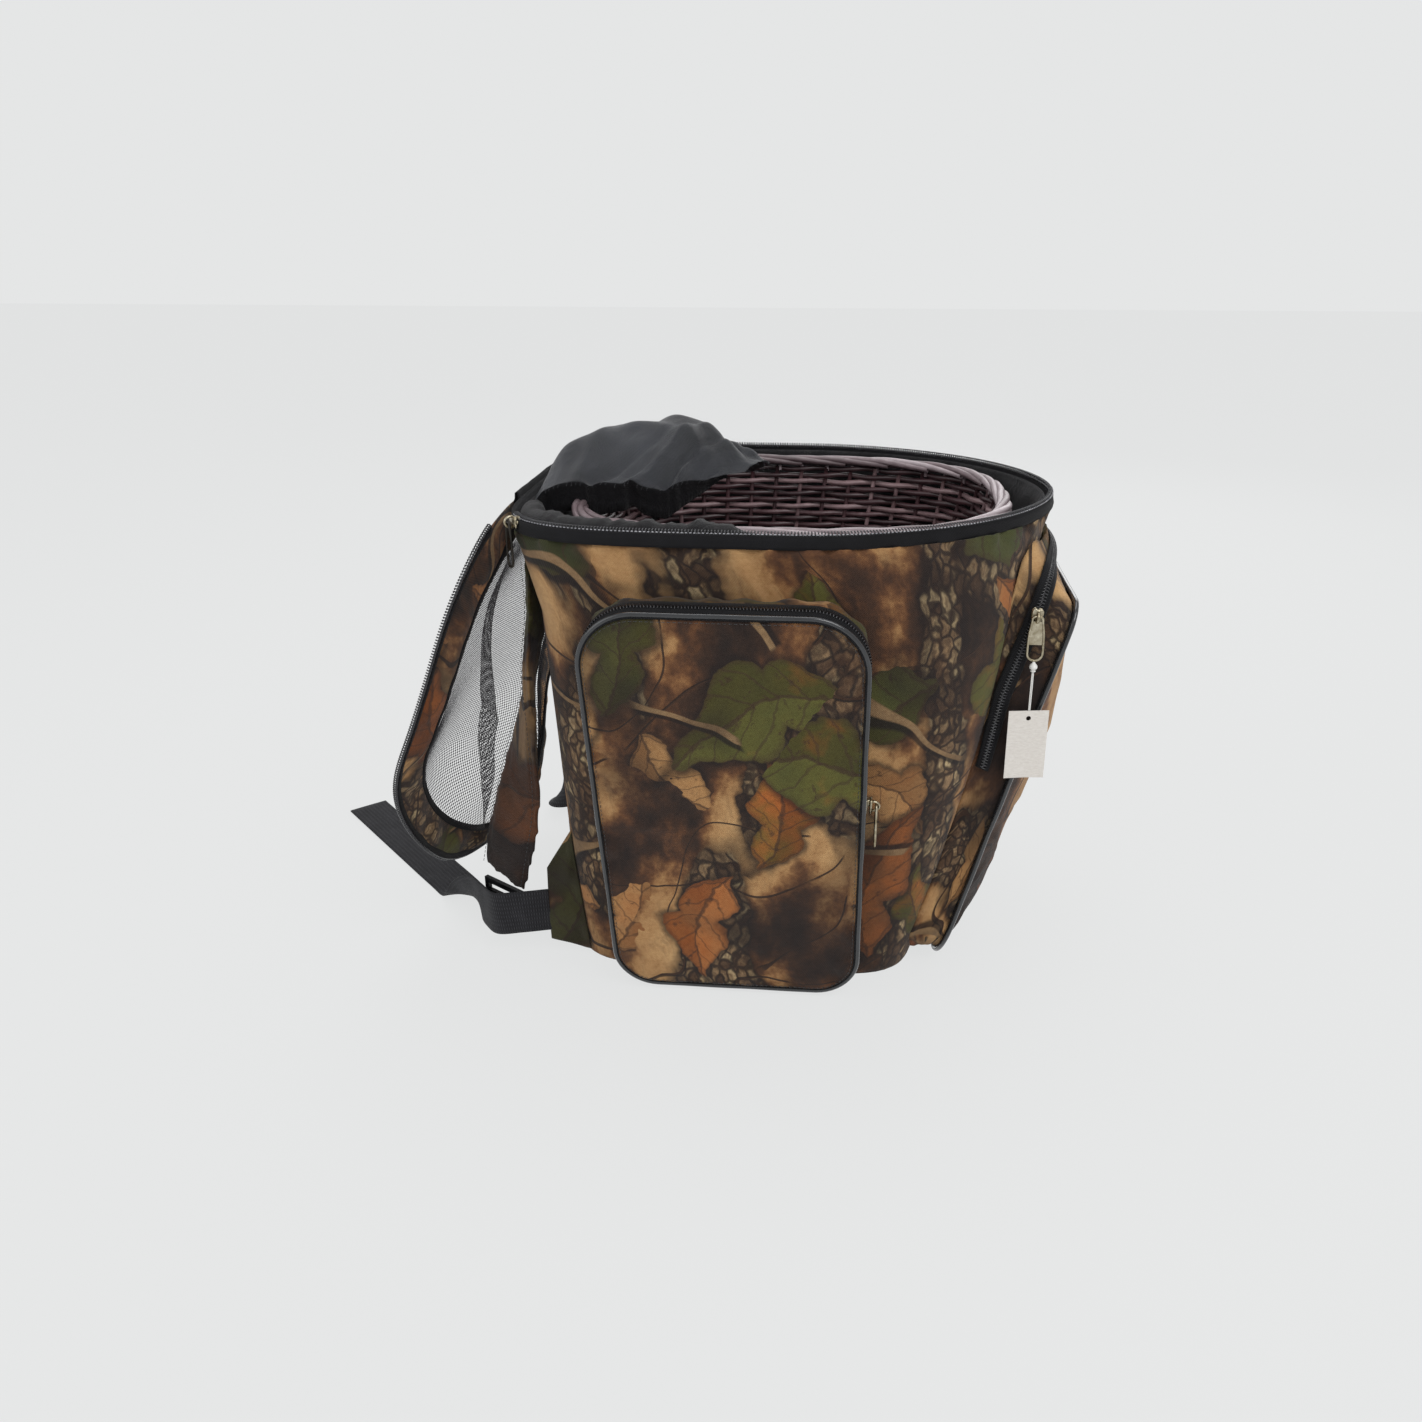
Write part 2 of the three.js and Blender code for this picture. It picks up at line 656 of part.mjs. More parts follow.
// turned slides lengthwise under a pull that hangs across it
function sliderSolid(turned) {
  const w = SLIDER.width / 2;
  const l = SLIDER.length / 2;
  const nose = w * sliderNoseShare;
  const outline = [[-nose, -l], [nose, -l], [w, 0], [nose, l], [-nose, l], [-w, 0]];
  const shape = new THREE.Shape(outline.map(([x, y]) => new THREE.Vector2(x, y)));
  const plate = new THREE.ExtrudeGeometry(shape, { depth: SLIDER.height, bevelEnabled: false })
    .rotateX(Math.PI / 2).translate(0, SLIDER.height, 0);
  const cheek = SLIDER.bail / 2;
  const cheekAt = PULL.neck / 2 + PULL.play + cheek / 2;
  const foot = SLIDER.height * (1 - sliderBridgeShare);
  const arms = [-1, 1].map((side) =>
    new THREE.BoxGeometry(cheek, SLIDER.height + SLIDER.bail - foot, SLIDER.bail)
      .translate(side * cheekAt, (SLIDER.height + SLIDER.bail + foot) / 2, 0));
  const bridge = new THREE.BoxGeometry(2 * cheekAt + cheek, SLIDER.height * sliderBridgeShare, SLIDER.bail)
    .translate(0, foot + (SLIDER.height * sliderBridgeShare) / 2, 0);
  if (turned) for (const g of [bridge, ...arms]) g.rotateY(Math.PI / 2);
  return fromManifold([bridge, ...arms].reduce((a, g) => a.add(toManifold(g)), toManifold(plate)));
}

const bailAt = SLIDER.height + SLIDER.bail / 2;

// the pull hangs along -Z of its own frame, turning about X at the origin
function pullSolid() {
  const w = PULL.width / 2;
  const neck = PULL.neck / 2;
  const turn = -PULL.length + w;
  const shape = new THREE.Shape();
  shape.moveTo(-neck, PULL.bar);
  shape.lineTo(-w, turn);
  shape.absarc(0, turn, w, Math.PI, 2 * Math.PI, false);
  shape.lineTo(neck, PULL.bar);
  const eye = new THREE.Path();
  eye.absarc(0, turn, w - PULL.rim, 0, 2 * Math.PI, true);
  shape.holes.push(eye);
  const g = new THREE.ExtrudeGeometry(shape, {
    depth: PULL.thickness, bevelEnabled: false, curveSegments: round.arcRun,
  });
  return g.translate(0, 0, -PULL.thickness / 2).rotateX(Math.PI / 2);
}

// Straps.
function strapSection(width, thickness) {
  const w = width / 2;
  const t = thickness / 2;
  return [[-w, -t / 2], [-w + t, -t], [w - t, -t], [w, -t / 2], [w, t / 2], [w - t, t], [-w + t, t], [-w, t / 2]];
}

function sweepStrip(rows, section) {
  return stackSolid(rows.map(({ at, across, face }) =>
    section.map(([w, t]) => at.clone().addScaledVector(across, w).addScaledVector(face, t))));
}

// points on a smooth curve through the rows of a table, with the row's fourth value carried along
function smoothRows(rows, steps) {
  const line = (points) => new THREE.CatmullRomCurve3(points, false, "catmullrom", curveTension);
  const place = line(rows.map((r) => V(r[0], r[1], r[2])));
  const lean = line(rows.map((r) => V(r[3], 0, 0)));
  return Array.from({ length: steps + 1 }, (_, i) => {
    const t = i / steps;
    return { at: place.getPoint(t), along: place.getTangent(t), lean: lean.getPoint(t).x };
  });
}

function strapRows(side) {
  const seat = STRAP.seat + STRAP.thickness / 2;
  const anchor = leftWebShares[0][0] * BAG.baseHalfWidth;
  const table = side < 0 ? leftStrapShares : rightStrapShares;
  const rows = table.map(([inward, out, up, turn]) => {
    const z = up * BAG.height;
    return [side * (anchor - inward * STRAP.width), wallBackY(0, z) + seat + out * STRAP.standOff, z, turn];
  });
  return smoothRows(rows, strapSteps).map(({ at, along, lean }) => {
    const a = rad(strapTurn * lean);
    const across = V(side * Math.cos(a), -Math.sin(a), 0);
    across.addScaledVector(along, -across.dot(along)).normalize();
    return { at, across, along, face: new THREE.Vector3().crossVectors(along, across).normalize() };
  });
}

const strapPad = (side) => sweepStrip(strapRows(side), strapSection(STRAP.width, STRAP.thickness));

function webbing(side) {
  const foot = BAG.baseBack - BAG.baseShift;
  const table = side < 0 ? leftWebShares : rightWebShares;
  const rows = table.map(([across, out, up, lean]) => [
    side * across * BAG.baseHalfWidth, foot + out * STRAP.standOff, up * WEB.width, lean]);
  const t = WEB.thickness / 2;
  const w = WEB.width / 2;
  const strip = smoothRows(rows, webSteps).map(({ at, along, lean }) => {
    const a = rad(90 * THREE.MathUtils.clamp(lean, 0, 1));
    const flat = V(along.y, -along.x, 0).normalize().multiplyScalar(side);
    const across = V(0, 0, Math.sin(a)).addScaledVector(flat, Math.cos(a));
    across.addScaledVector(along, -across.dot(along)).normalize();
    at.z = Math.max(at.z, w * Math.abs(across.z) + t + WEB.floorGap);
    return { at, across, face: new THREE.Vector3().crossVectors(along, across).normalize() };
  });
  return sweepStrip(strip, [[-w, -t], [w, -t], [w, t], [-w, t]]);
}

// a doubled cloth triangle from the lower back corner to the end of the webbing
function anchorTab(side) {
  const x = leftWebShares[0][0] * BAG.baseHalfWidth;
  const end = BAG.baseBack - BAG.baseShift + leftWebShares[0][1] * STRAP.standOff - SEAM - FIT;
  const low = ANCHOR.drop;
  const high = ANCHOR.drop + ANCHOR.height;
  const wall = (z) => wallBackY(x - ANCHOR.thickness / 2, z) - FIT;
  const outline = [
    [wall(low), low], [end, ANCHOR.endDrop], [end, ANCHOR.endDrop + ANCHOR.end], [wall(high), high],
    [wall((low + high) / 2), (low + high) / 2],
  ];
  const shape = new THREE.Shape(outline.map(([y, z]) => new THREE.Vector2(y, z)));
  const g = new THREE.ExtrudeGeometry(shape, { depth: ANCHOR.thickness, bevelEnabled: false });
  return g.translate(0, 0, -ANCHOR.thickness / 2)
    .applyMatrix4(new THREE.Matrix4().makeBasis(V(0, 1, 0), V(0, 0, 1), V(1, 0, 0)))
    .translate(side * x, 0, 0);
}

// the three bars at the end of a strap, hung under the pad
function ladderLock(side) {
  const rows = strapRows(side);
  const { at, along, across } = rows[rows.length - 1];
  const w = LADDER.width / 2;
  const plate = (half, from, to) => [[-half, from], [half, from], [half, to], [-half, to]]
    .map(([x, y]) => new THREE.Vector2(x, y));
  const shape = new THREE.Shape(plate(w, 0, LADDER.height));
  const slot = (LADDER.height - 3 * LADDER.bar) / 2;
  for (const i of [0, 1]) {
    const from = LADDER.bar + i * (slot + LADDER.bar);
    shape.holes.push(new THREE.Path(plate(w - LADDER.bar, from, from + slot)));
  }
  const g = new THREE.ExtrudeGeometry(shape, { depth: LADDER.thickness, bevelEnabled: false });
  const flat = V(across.x, across.y, 0).normalize();
  const frame = new THREE.Matrix4().makeBasis(flat, V(0, 0, 1), new THREE.Vector3().crossVectors(flat, V(0, 0, 1)));
  const drop = (STRAP.thickness / 2) * Math.hypot(along.x, along.y) + (w - LADDER.bar) * Math.abs(across.z) + FIT;
  return g.translate(0, -LADDER.height, -LADDER.thickness / 2).applyMatrix4(frame)
    .translate(at.x, at.y, at.z - drop);
}

function haulLoop() {
  const top = BACK.top + HAUL.drop + HAUL.rise;
  const rows = Array.from({ length: haulSteps + 1 }, (_, i) => {
    const a = (Math.PI * i) / haulSteps;
    const x = HAUL.halfSpan * Math.cos(a);
    const z = top - HAUL.drop * Math.sin(a);
    const lift = HAUL.thickness / 2 + SEAM + HAUL.standOff * Math.sin(a);
    const along = V(-HAUL.halfSpan * Math.sin(a), 0, -HAUL.drop * Math.cos(a)).normalize();
    return { at: V(x, wallBackY(0, z) + lift, z), across: V(-along.z, 0, along.x), face: V(0, 1, 0) };
  });
  const w = HAUL.width / 2;
  const t = HAUL.thickness / 2;
  return sweepStrip(rows, [[-w, -t], [w, -t], [w, t], [-w, t]]);
}

function backPanel() {
  const outline = roundedOutline(-BACK.halfWidth, BACK.halfWidth, -BACK.halfWidth, BACK.halfWidth,
    BACK.bottom, BACK.top, BACK.radius, BACK.radius);
  const middle = (BACK.top + BACK.bottom) / 2;
  const face = (shrink, out) => outline.map(([s, h]) => {
    const x = s * shrink;
    const z = mix(middle, h, shrink);
    return V(x, wallBackY(x, z) + out, z);
  });
  return stackSolid([
    ...shrinkShares.slice().reverse().map((f) => face(f, BACK.seat)),
    ...shrinkShares.map((f) => face(f, BACK.seat + BACK.thickness + BACK.crown * (1 - f))),
  ]);
}

// The torn flap of lining cloth that stands up behind the mouth.
function liningFlap() {
  const rows = flapShares.length - 1;
  const back = BAG.mouthBack - BAG.mouthShift + liningIn - FLAP.clear;
  const foot = BAG.height + FIT - BAG.lip;
  const line = (share, under) => {
    const r = share * rows;
    const lo = Math.min(Math.floor(r), rows - 1);
    return flapShares[0].map((_, j) => {
      const height = mix(flapShares[lo][j], flapShares[lo + 1][j], r - lo);
      const across = mix(-1, 1, j / (flapShares[0].length - 1));
      const spread = FLAP.halfWidth * (across * (1 - flapNarrowShare * share ** 2) + flapSkewShare * share);
      return V(spread, back - share * FLAP.length, foot + FLAP.hump * height - (under ? FLAP.thickness : 0));
    });
  };
  const n = flapSteps;
  const rowsOf = Array.from({ length: n + 1 }, (_, i) =>
    [...line(i / n, false), ...line(i / n, true).reverse()]);
  return stackSolid(rowsOf);
}

// Zip sliders, pulls and the tag.
function onZip(p, h) {
  const { top, bottom, halfWidth, footHalfWidth, frontEdge } = p.size;
  const place = (height) => [
    p.size === FRONT ? -mix(footHalfWidth, halfWidth, (height - bottom) / (top - bottom)) : -frontEdge, height];
  const q = place(h);
  const n = [-1, 0];
  const [a, b] = zipBand(p, q, n);
  const t = (a + b) / 2;
  const base = p.size.zipSeat + POCKET.zipThickness + SEAM;
  return {
    at: gussetAt(p, q, n, t, base),
    out: p.flat(...n),
    point: (height) => gussetAt(p, place(height), n, t, base),
  };
}

function zipFrame(p, h) {
  const { at, out, point } = onZip(p, h);
  const along = point(h + SLIDER.length).sub(point(h - SLIDER.length));
  return { matrix: basis(at, along, out), along: along.normalize() };
}

// a frame at a slider's bail whose -Z is plumb and whose Y points away from the cloth
function hangFrame(matrix) {
  const at = V(0, bailAt, 0).applyMatrix4(matrix);
  const out = V(0, 1, 0).transformDirection(matrix);
  const flat = V(out.x, out.y, 0).normalize();
  const up = V(0, 0, 1);
  return new THREE.Matrix4().makeBasis(new THREE.Vector3().crossVectors(flat, up), flat, up).setPosition(at);
}

// the tag's pieces hang under a pull's end, in the pull's frame
const lockTop = -PULL.length - FIT;
const stringTop = lockTop - LOCK.length - FIT;
const tagTop = stringTop - STRING.length - FIT;

function tagLock() {
  const half = LOCK.length / 2;
  const outline = [
    [0, -half], [LOCK.radius * lockWaistShare, -half], [LOCK.radius, 0],
    [LOCK.radius * lockWaistShare, half], [0, half],
  ];
  return new THREE.LatheGeometry(outline.map(([x, y]) => new THREE.Vector2(x, y)), round.fine)
    .rotateX(Math.PI / 2).translate(0, 0, lockTop - half);
}

function tagString() {
  const path = Array.from({ length: stringSteps + 1 }, (_, i) =>
    V(0, 0, stringTop - (STRING.length * i) / stringSteps));
  return coil(path, STRING.radius, false, round.fine);
}

function hangTag() {
  const w = TAG.width / 2;
  const shape = new THREE.Shape([[-w, -TAG.height], [w, -TAG.height], [w, 0], [-w, 0]]
    .map(([x, y]) => new THREE.Vector2(x, y)));
  const eye = new THREE.Path();
  eye.absarc(0, -TAG.holeInset, TAG.hole, 0, 2 * Math.PI, true);
  shape.holes.push(eye);
  return new THREE.ExtrudeGeometry(shape, {
    depth: TAG.thickness, bevelEnabled: false, curveSegments: round.arcRun,
  }).translate(0, 0, -TAG.thickness / 2).rotateX(Math.PI / 2).rotateZ(rad(tagTurn)).translate(0, 0, tagTop);
}

// Materials.
function material(color, roughness, metalness = 0) {
  return new THREE.MeshStandardMaterial({ color, roughness, metalness, side: THREE.DoubleSide });
}
const CAMO = material(0x8a6a44, 0.85);
const BLACK = material(0x1c1d1f, 0.75);
const NYLON = material(0x3b3e42, 0.45);
const PIPE = material(0x33363a, 0.35);
const NET = material(0x141416, 0.7);
const WICKER = material(0x5a4248, 0.55);
const METAL = material(0xb9b3a2, 0.35, 0.9);
const PAPER = material(0xded9d2, 0.8);
const PLASTIC = material(0x17181a, 0.45);
const WHITE = material(0xf0efec, 0.5);

// The whole bag.
const group = new THREE.Group();

function put(name, geometry, finish, parent = group, matrix) {
  const mesh = new THREE.Mesh(geometry, finish);
  mesh.name = name;
  if (matrix) mesh.applyMatrix4(matrix);
  parent.add(mesh);
  return mesh;
}

put("bag_body", bagBody(), CAMO);
put("base_panel", basePanel(), BLACK);
put("bag_lining", bagLining(), NYLON);
put("mouth_tape", mouthTape(), BLACK);
put("mouth_zip_teeth", mouthTeeth(), PLASTIC);
put("hinge_tape", hingeTape(), BLACK);
put("lining_flap", liningFlap(), NYLON);
put("back_panel", backPanel(), CAMO);
put("haul_loop", haulLoop(), BLACK);

const lid = new THREE.Group();
lid.position.set(0, hingeY, hingeZ);
lid.rotation.x = -rad(closedTurn);
group.add(lid);
put("lid_band", lidBand(), CAMO, lid);
put("lid_binding", lidBinding(), BLACK, lid);
put("lid_net", lidNet(), NET, lid);
put("lid_zip_teeth", lidTeeth(), PLASTIC, lid);

put("basket_base", basketBase(), WICKER);
put("basket_wall", basketWall(), WICKER);
put("basket_border", basketBorder(), WICKER);

const pockets = { left_pocket: pocketOn(-1), right_pocket: pocketOn(1), front_pocket: pocketOn(0) };
for (const [name, p] of Object.entries(pockets)) {
  put(name + "_panel", pocketPanel(p), CAMO);
  put(name + "_gusset", pocketGusset(p), CAMO);
  put(name + "_piping", pocketPiping(p), PIPE);
  put(name + "_zip", pocketZip(p), PLASTIC);
}

function putSlider(name, matrix, turned = false) {
  put(name + "_slider", sliderSolid(turned), METAL, group, matrix);
  const hang = hangFrame(matrix);
  put(name + "_pull", pullSolid(), METAL, group, hang);
  return hang;
}

const straightTop = (p) => p.size.top - p.size.topRadius - SLIDER.length / 2;
const lowestTape = (p) => Math.min(...zipRun(p).map((i) => p.outline[i][1]));
for (const name of ["left_pocket", "right_pocket"]) {
  const p = pockets[name];
  putSlider(name, zipFrame(p, lowestTape(p) + SLIDER.length).matrix);
}
const frontFrame = zipFrame(pockets.front_pocket, straightTop(pockets.front_pocket)).matrix;
const tagHang = putSlider("front_pocket", frontFrame);
put("tag_lock", tagLock(), WHITE, group, tagHang);
put("tag_string", tagString(), WHITE, group, tagHang);
put("hang_tag", hangTag(), PAPER, group, tagHang);

function mouthSliderFrame() {
  const grow = teethSet + TEETH.radius + FIT;
  const z = BAG.height - MOUTH_SLIDER.drop;
  const path = new THREE.CatmullRomCurve3(zipPath(z, grow).slice(0, MOUTH_SLIDER.reach));
  const t = MOUTH_SLIDER.along / path.getLength();
  const along = path.getTangentAt(t);
  return basis(path.getPointAt(t), along, new THREE.Vector3().crossVectors(V(0, 0, 1), along).negate());
}
putSlider("mouth", mouthSliderFrame(), true);

for (const [name, side] of [["left", -1], ["right", 1]]) {
  put(name + "_strap_pad", strapPad(side), CAMO);
  put(name + "_ladder_lock", ladderLock(side), PLASTIC);
  put(name + "_webbing", webbing(side), BLACK);
  put(name + "_anchor_tab", anchorTab(side), CAMO);
}

export default group;
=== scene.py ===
"""The looks of a soft oval pack with a woven basket in it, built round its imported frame. Metres, +Z up."""
import json
import math

import bmesh
import bpy
import numpy as np
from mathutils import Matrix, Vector, noise

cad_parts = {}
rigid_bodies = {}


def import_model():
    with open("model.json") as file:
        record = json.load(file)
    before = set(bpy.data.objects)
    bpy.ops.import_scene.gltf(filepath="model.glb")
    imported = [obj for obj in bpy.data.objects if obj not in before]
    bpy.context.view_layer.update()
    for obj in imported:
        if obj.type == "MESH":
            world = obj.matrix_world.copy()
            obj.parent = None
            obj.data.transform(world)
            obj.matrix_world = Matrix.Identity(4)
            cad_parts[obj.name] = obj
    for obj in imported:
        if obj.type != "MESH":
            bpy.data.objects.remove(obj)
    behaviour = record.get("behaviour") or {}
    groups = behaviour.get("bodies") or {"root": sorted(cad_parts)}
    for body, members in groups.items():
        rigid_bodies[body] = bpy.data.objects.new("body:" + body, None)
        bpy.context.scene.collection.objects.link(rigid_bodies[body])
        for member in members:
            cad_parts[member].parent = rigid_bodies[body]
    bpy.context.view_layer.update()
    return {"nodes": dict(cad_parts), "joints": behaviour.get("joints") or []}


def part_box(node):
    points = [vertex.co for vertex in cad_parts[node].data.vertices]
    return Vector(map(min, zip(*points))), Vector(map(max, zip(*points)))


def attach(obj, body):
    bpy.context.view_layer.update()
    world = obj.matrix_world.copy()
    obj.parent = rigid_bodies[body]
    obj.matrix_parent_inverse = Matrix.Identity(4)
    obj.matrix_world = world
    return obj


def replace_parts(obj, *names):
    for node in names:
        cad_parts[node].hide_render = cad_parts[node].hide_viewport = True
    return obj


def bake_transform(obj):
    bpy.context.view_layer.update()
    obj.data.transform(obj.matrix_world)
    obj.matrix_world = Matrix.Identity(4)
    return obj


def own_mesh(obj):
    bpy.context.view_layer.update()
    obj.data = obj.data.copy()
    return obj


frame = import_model()

MM = 0.001
UP = np.array([0.0, 0.0, 1.0])
SIDEWAYS = np.array([1.0, 0.0, 0.0])

# The camera stands where the photograph was taken from.
CAMERA_AT = (-0.9462, -0.0851, 0.562)
CAMERA_AIM = (0.0, 0.0, 0.176)
CAMERA_LENS = 30.46
CAMERA_SHIFT = -0.0241
BACKGROUND = (0.783, 0.791, 0.791)
FLOOR_REACH = 8000.0
WORLD_LIGHT = 0.62

# Each lamp's name, place and size in metres, and power.
LAMPS = [
    ("key", (-1.3, -0.9, 1.9), 1.3, 17.0),
    ("fill", (-1.1, 1.6, 1.1), 1.6, 7.0),
    ("top", (0.5, 0.1, 2.2), 1.4, 12.0),
    ("far", (1.7, -0.6, 1.2), 1.4, 8.0),
]
LAMP_AIM = (0.0, 0.0, 0.2)

# Sizes of the bag, as in the frame's own source, in millimetres.
HEIGHT = 374.0
BASE_SHIFT, MOUTH_SHIFT = 8.0, 40.0
BASE_HALF, MOUTH_HALF = 126.0, 174.0
BASE_FRONT, MOUTH_FRONT = 138.0, 198.0
BASE_BACK, MOUTH_BACK = 140.0, 202.0
GROWTH = [
    (0, 0, 0), (0.25, 0.27, 0.14), (0.5, 0.53, 0.27), (0.8, 0.82, 0.45),
    (0.88, 0.89, 0.72), (0.95, 0.955, 0.95), (1, 1, 1),
]
WALL, LINING_WALL, SEAM, FIT = 3.0, 1.5, 0.7, 0.35
TEETH = 2.0
TAPE = 7.0
LIP = 6.0
TAPE_TOP = HEIGHT - 2 * TEETH - FIT
TAPE_FOOT = TAPE_TOP - TAPE
WALL_TOP = TAPE_FOOT - FIT
LINING_TOP = HEIGHT - LIP
LINING_OUT = -(WALL + SEAM)
LINING_IN = LINING_OUT - LINING_WALL


# Numbers.
def mix(a, b, t):
    return a + (b - a) * t


def ramp(t, low, high):
    """0 below low, 1 above high, smooth between them."""
    share = np.clip((t - low) / (high - low), 0, 1)
    return share * share * (3 - 2 * share)


def bump(t, centre, width):
    """A smooth hill, 1 at centre."""
    return np.exp(-(((t - centre) / width) ** 2))


def profile(table, share, column=1):
    return float(np.interp(share, [row[0] for row in table], [row[column] for row in table]))


def unit(v):
    v = np.asarray(v, float)
    return v / max(np.linalg.norm(v), 1e-12)


def rough(p, scale, seed=0.0):
    """Smooth noise from -1 to 1 at a point in millimetres, with features of the size scale."""
    return noise.noise(Vector((p[0] / scale + seed, p[1] / scale - seed, p[2] / scale + 2 * seed)))


def catmull(a, b, c, d, t):
    """The place between b and c on a smooth curve through four values."""
    bend, turn = 2 * a - 5 * b + 4 * c - d, 3 * b - a - 3 * c + d
    return 0.5 * (2 * b + (c - a) * t + bend * t * t + turn * t ** 3)


def powered(value, power):
    """A sine or cosine raised to a power with its sign kept, which squares a round section."""
    return abs(value) ** power * (1 if value > 0 else -1)


def smooth_path(points, steps, closed=False):
    """Points on a smooth curve through the given rows, evenly spread over the rows."""
    rows = [np.asarray(p, float) for p in points]
    spans = len(rows) if closed else len(rows) - 1
    if closed:
        rows = [rows[-1], *rows, rows[0], rows[1]]
    else:
        rows = [2 * rows[0] - rows[1], *rows, 2 * rows[-1] - rows[-2]]
    out = []
    for i in range(steps if closed else steps + 1):
        at = i / steps * spans
        k = min(int(at), spans - 1)
        out.append(catmull(*rows[k : k + 4], at - k))
    return np.array(out)


def lengths(line):
    """How far along a line each of its points lies."""
    return np.concatenate([[0], np.cumsum(np.linalg.norm(np.diff(line[:, :3], axis=0), axis=1))])


def resampled(line, places):
    """The points at the given distances along a line."""
    reach = lengths(line)
    return np.stack([np.interp(places, reach, line[:, k]) for k in range(line.shape[1])], 1)


def evenly(points, step, closed=False):
    """The same line with points a fixed step apart."""
    line = np.vstack([points, points[:1]]) if closed else np.asarray(points, float)
    length = lengths(line)[-1]
    places = np.linspace(0, length, max(int(round(length / step)), 2) + 1)
    return resampled(line, places[:-1] if closed else places)


def spread_round(loop, count):
    """A number of points evenly spread round a closed loop."""
    line = np.vstack([loop, loop[:1]])
    return resampled(line, np.linspace(0, lengths(line)[-1], count + 1)[:-1])


def ring_out(ring):
    """The level directions out of a ring at its points."""
    d = np.roll(ring, -1, 0) - np.roll(ring, 1, 0)
    out = np.stack([d[:, 1], -d[:, 0], 0 * d[:, 0]], 1)
    out /= np.linalg.norm(out, axis=1)[:, None]
    out[np.einsum("ij,ij->i", out, ring - ring.mean(0)) < 0] *= -1
    return out


# The bag's wall.
def oval(z, grow=0.0):
    """The wall's outline at a height: half its width, its reach to front and back, and their roundness."""
    share = min(max(z / HEIGHT, 0.0), 1.0)
    side = profile(GROWTH, share, 1)
    back = profile(GROWTH, share, 2)
    centre = -mix(BASE_SHIFT, MOUTH_SHIFT, side)
    back_line = mix(BASE_BACK - BASE_SHIFT, MOUTH_BACK - MOUTH_SHIFT, back)
    return {
        "half": mix(BASE_HALF, MOUTH_HALF, side) + grow,
        "front": mix(BASE_FRONT, MOUTH_FRONT, side) + grow,
        "back": back_line - centre + grow,
        "centre": centre,
        "front_power": mix(6.0, 1.9, side),
        "back_power": mix(6.0, 5.0, side),
    }


def oval_point(o, angle, z):
    c, s = math.cos(angle), math.sin(angle)
    reach, power = (o["front"], o["front_power"]) if s < 0 else (o["back"], o["back_power"])
    r = (abs(c / o["half"]) ** power + abs(s / reach) ** power) ** (-1 / power)
    return np.array([r * c, o["centre"] + r * s, z])


def oval_loop(o, z, count=360):
    return np.array([oval_point(o, 2 * math.pi * i / count, z) for i in range(count)])


def on_wall(z, reach_at):
    """What reach_at gives for the wall's outline, straight between the levels of its growth."""
    levels = [share * HEIGHT for share, _, _ in GROWTH]
    i = next((k for k, level in enumerate(levels) if z <= level), len(levels) - 1)
    i = max(i, 1)
    t = (z - levels[i - 1]) / (levels[i] - levels[i - 1])
    return mix(reach_at(oval(levels[i - 1])), reach_at(oval(levels[i])), t)


def rest_of(share, power):
    """How far an outline of this roundness reaches at a share of its other half."""
    return (1 - min(abs(share), 1.0) ** power) ** (1 / power)


def wall_x(y, z):
    def reach_at(o):
        front = y < o["centre"]
        reach, power = (o["front"], o["front_power"]) if front else (o["back"], o["back_power"])
        return o["half"] * rest_of((y - o["centre"]) / reach, power)
    return on_wall(z, reach_at)


def wall_front(x, z):
    return on_wall(z, lambda o: o["centre"] - o["front"] * rest_of(x / o["half"], o["front_power"]))


def wall_back(x, z):
    return on_wall(z, lambda o: o["centre"] + o["back"] * rest_of(x / o["half"], o["back_power"]))


def ring_at(z, grow, count):
    """Points round the wall at a height, evenly spaced, starting at +X and going round by the back."""
    return spread_round(oval_loop(oval(z, grow), z), count)


# Meshes. Points are in millimetres until the mesh is made.
def write_cloth(mesh, flat):
    """Keeps each point's place on the flat cloth, in millimetres, for the print and the weave."""
    attribute = mesh.attributes.get("cloth") or mesh.attributes.new("cloth", "FLOAT_VECTOR", "POINT")
    attribute.data.foreach_set("vector", (np.asarray(flat, np.float32).reshape(-1, 3) * MM).ravel())


def mesh_object(name, points, faces, finish, cloth=None, smooth=True):
    """A mesh object in the scene. cloth holds, for each point, its place on the flat cloth."""
    mesh = bpy.data.meshes.new(name)
    mesh.from_pydata([tuple(np.asarray(p) * MM) for p in points], [], [tuple(f) for f in faces])
    mesh.validate()
    if cloth is not None:
        write_cloth(mesh, cloth)
    mesh.polygons.foreach_set("use_smooth", [smooth] * len(mesh.polygons))
    mesh.materials.append(finish)
    piece = bpy.data.objects.new(name, mesh)
    bpy.context.scene.collection.objects.link(piece)
    return piece


def moved_to(piece, points):
    """Gives a piece's mesh new places for its points, in millimetres."""
    piece.data.vertices.foreach_set("co", (np.array(points, np.float32) * MM).ravel())
    piece.data.update()


def points_of(piece):
    return np.array([v.co for v in piece.data.vertices]) / MM


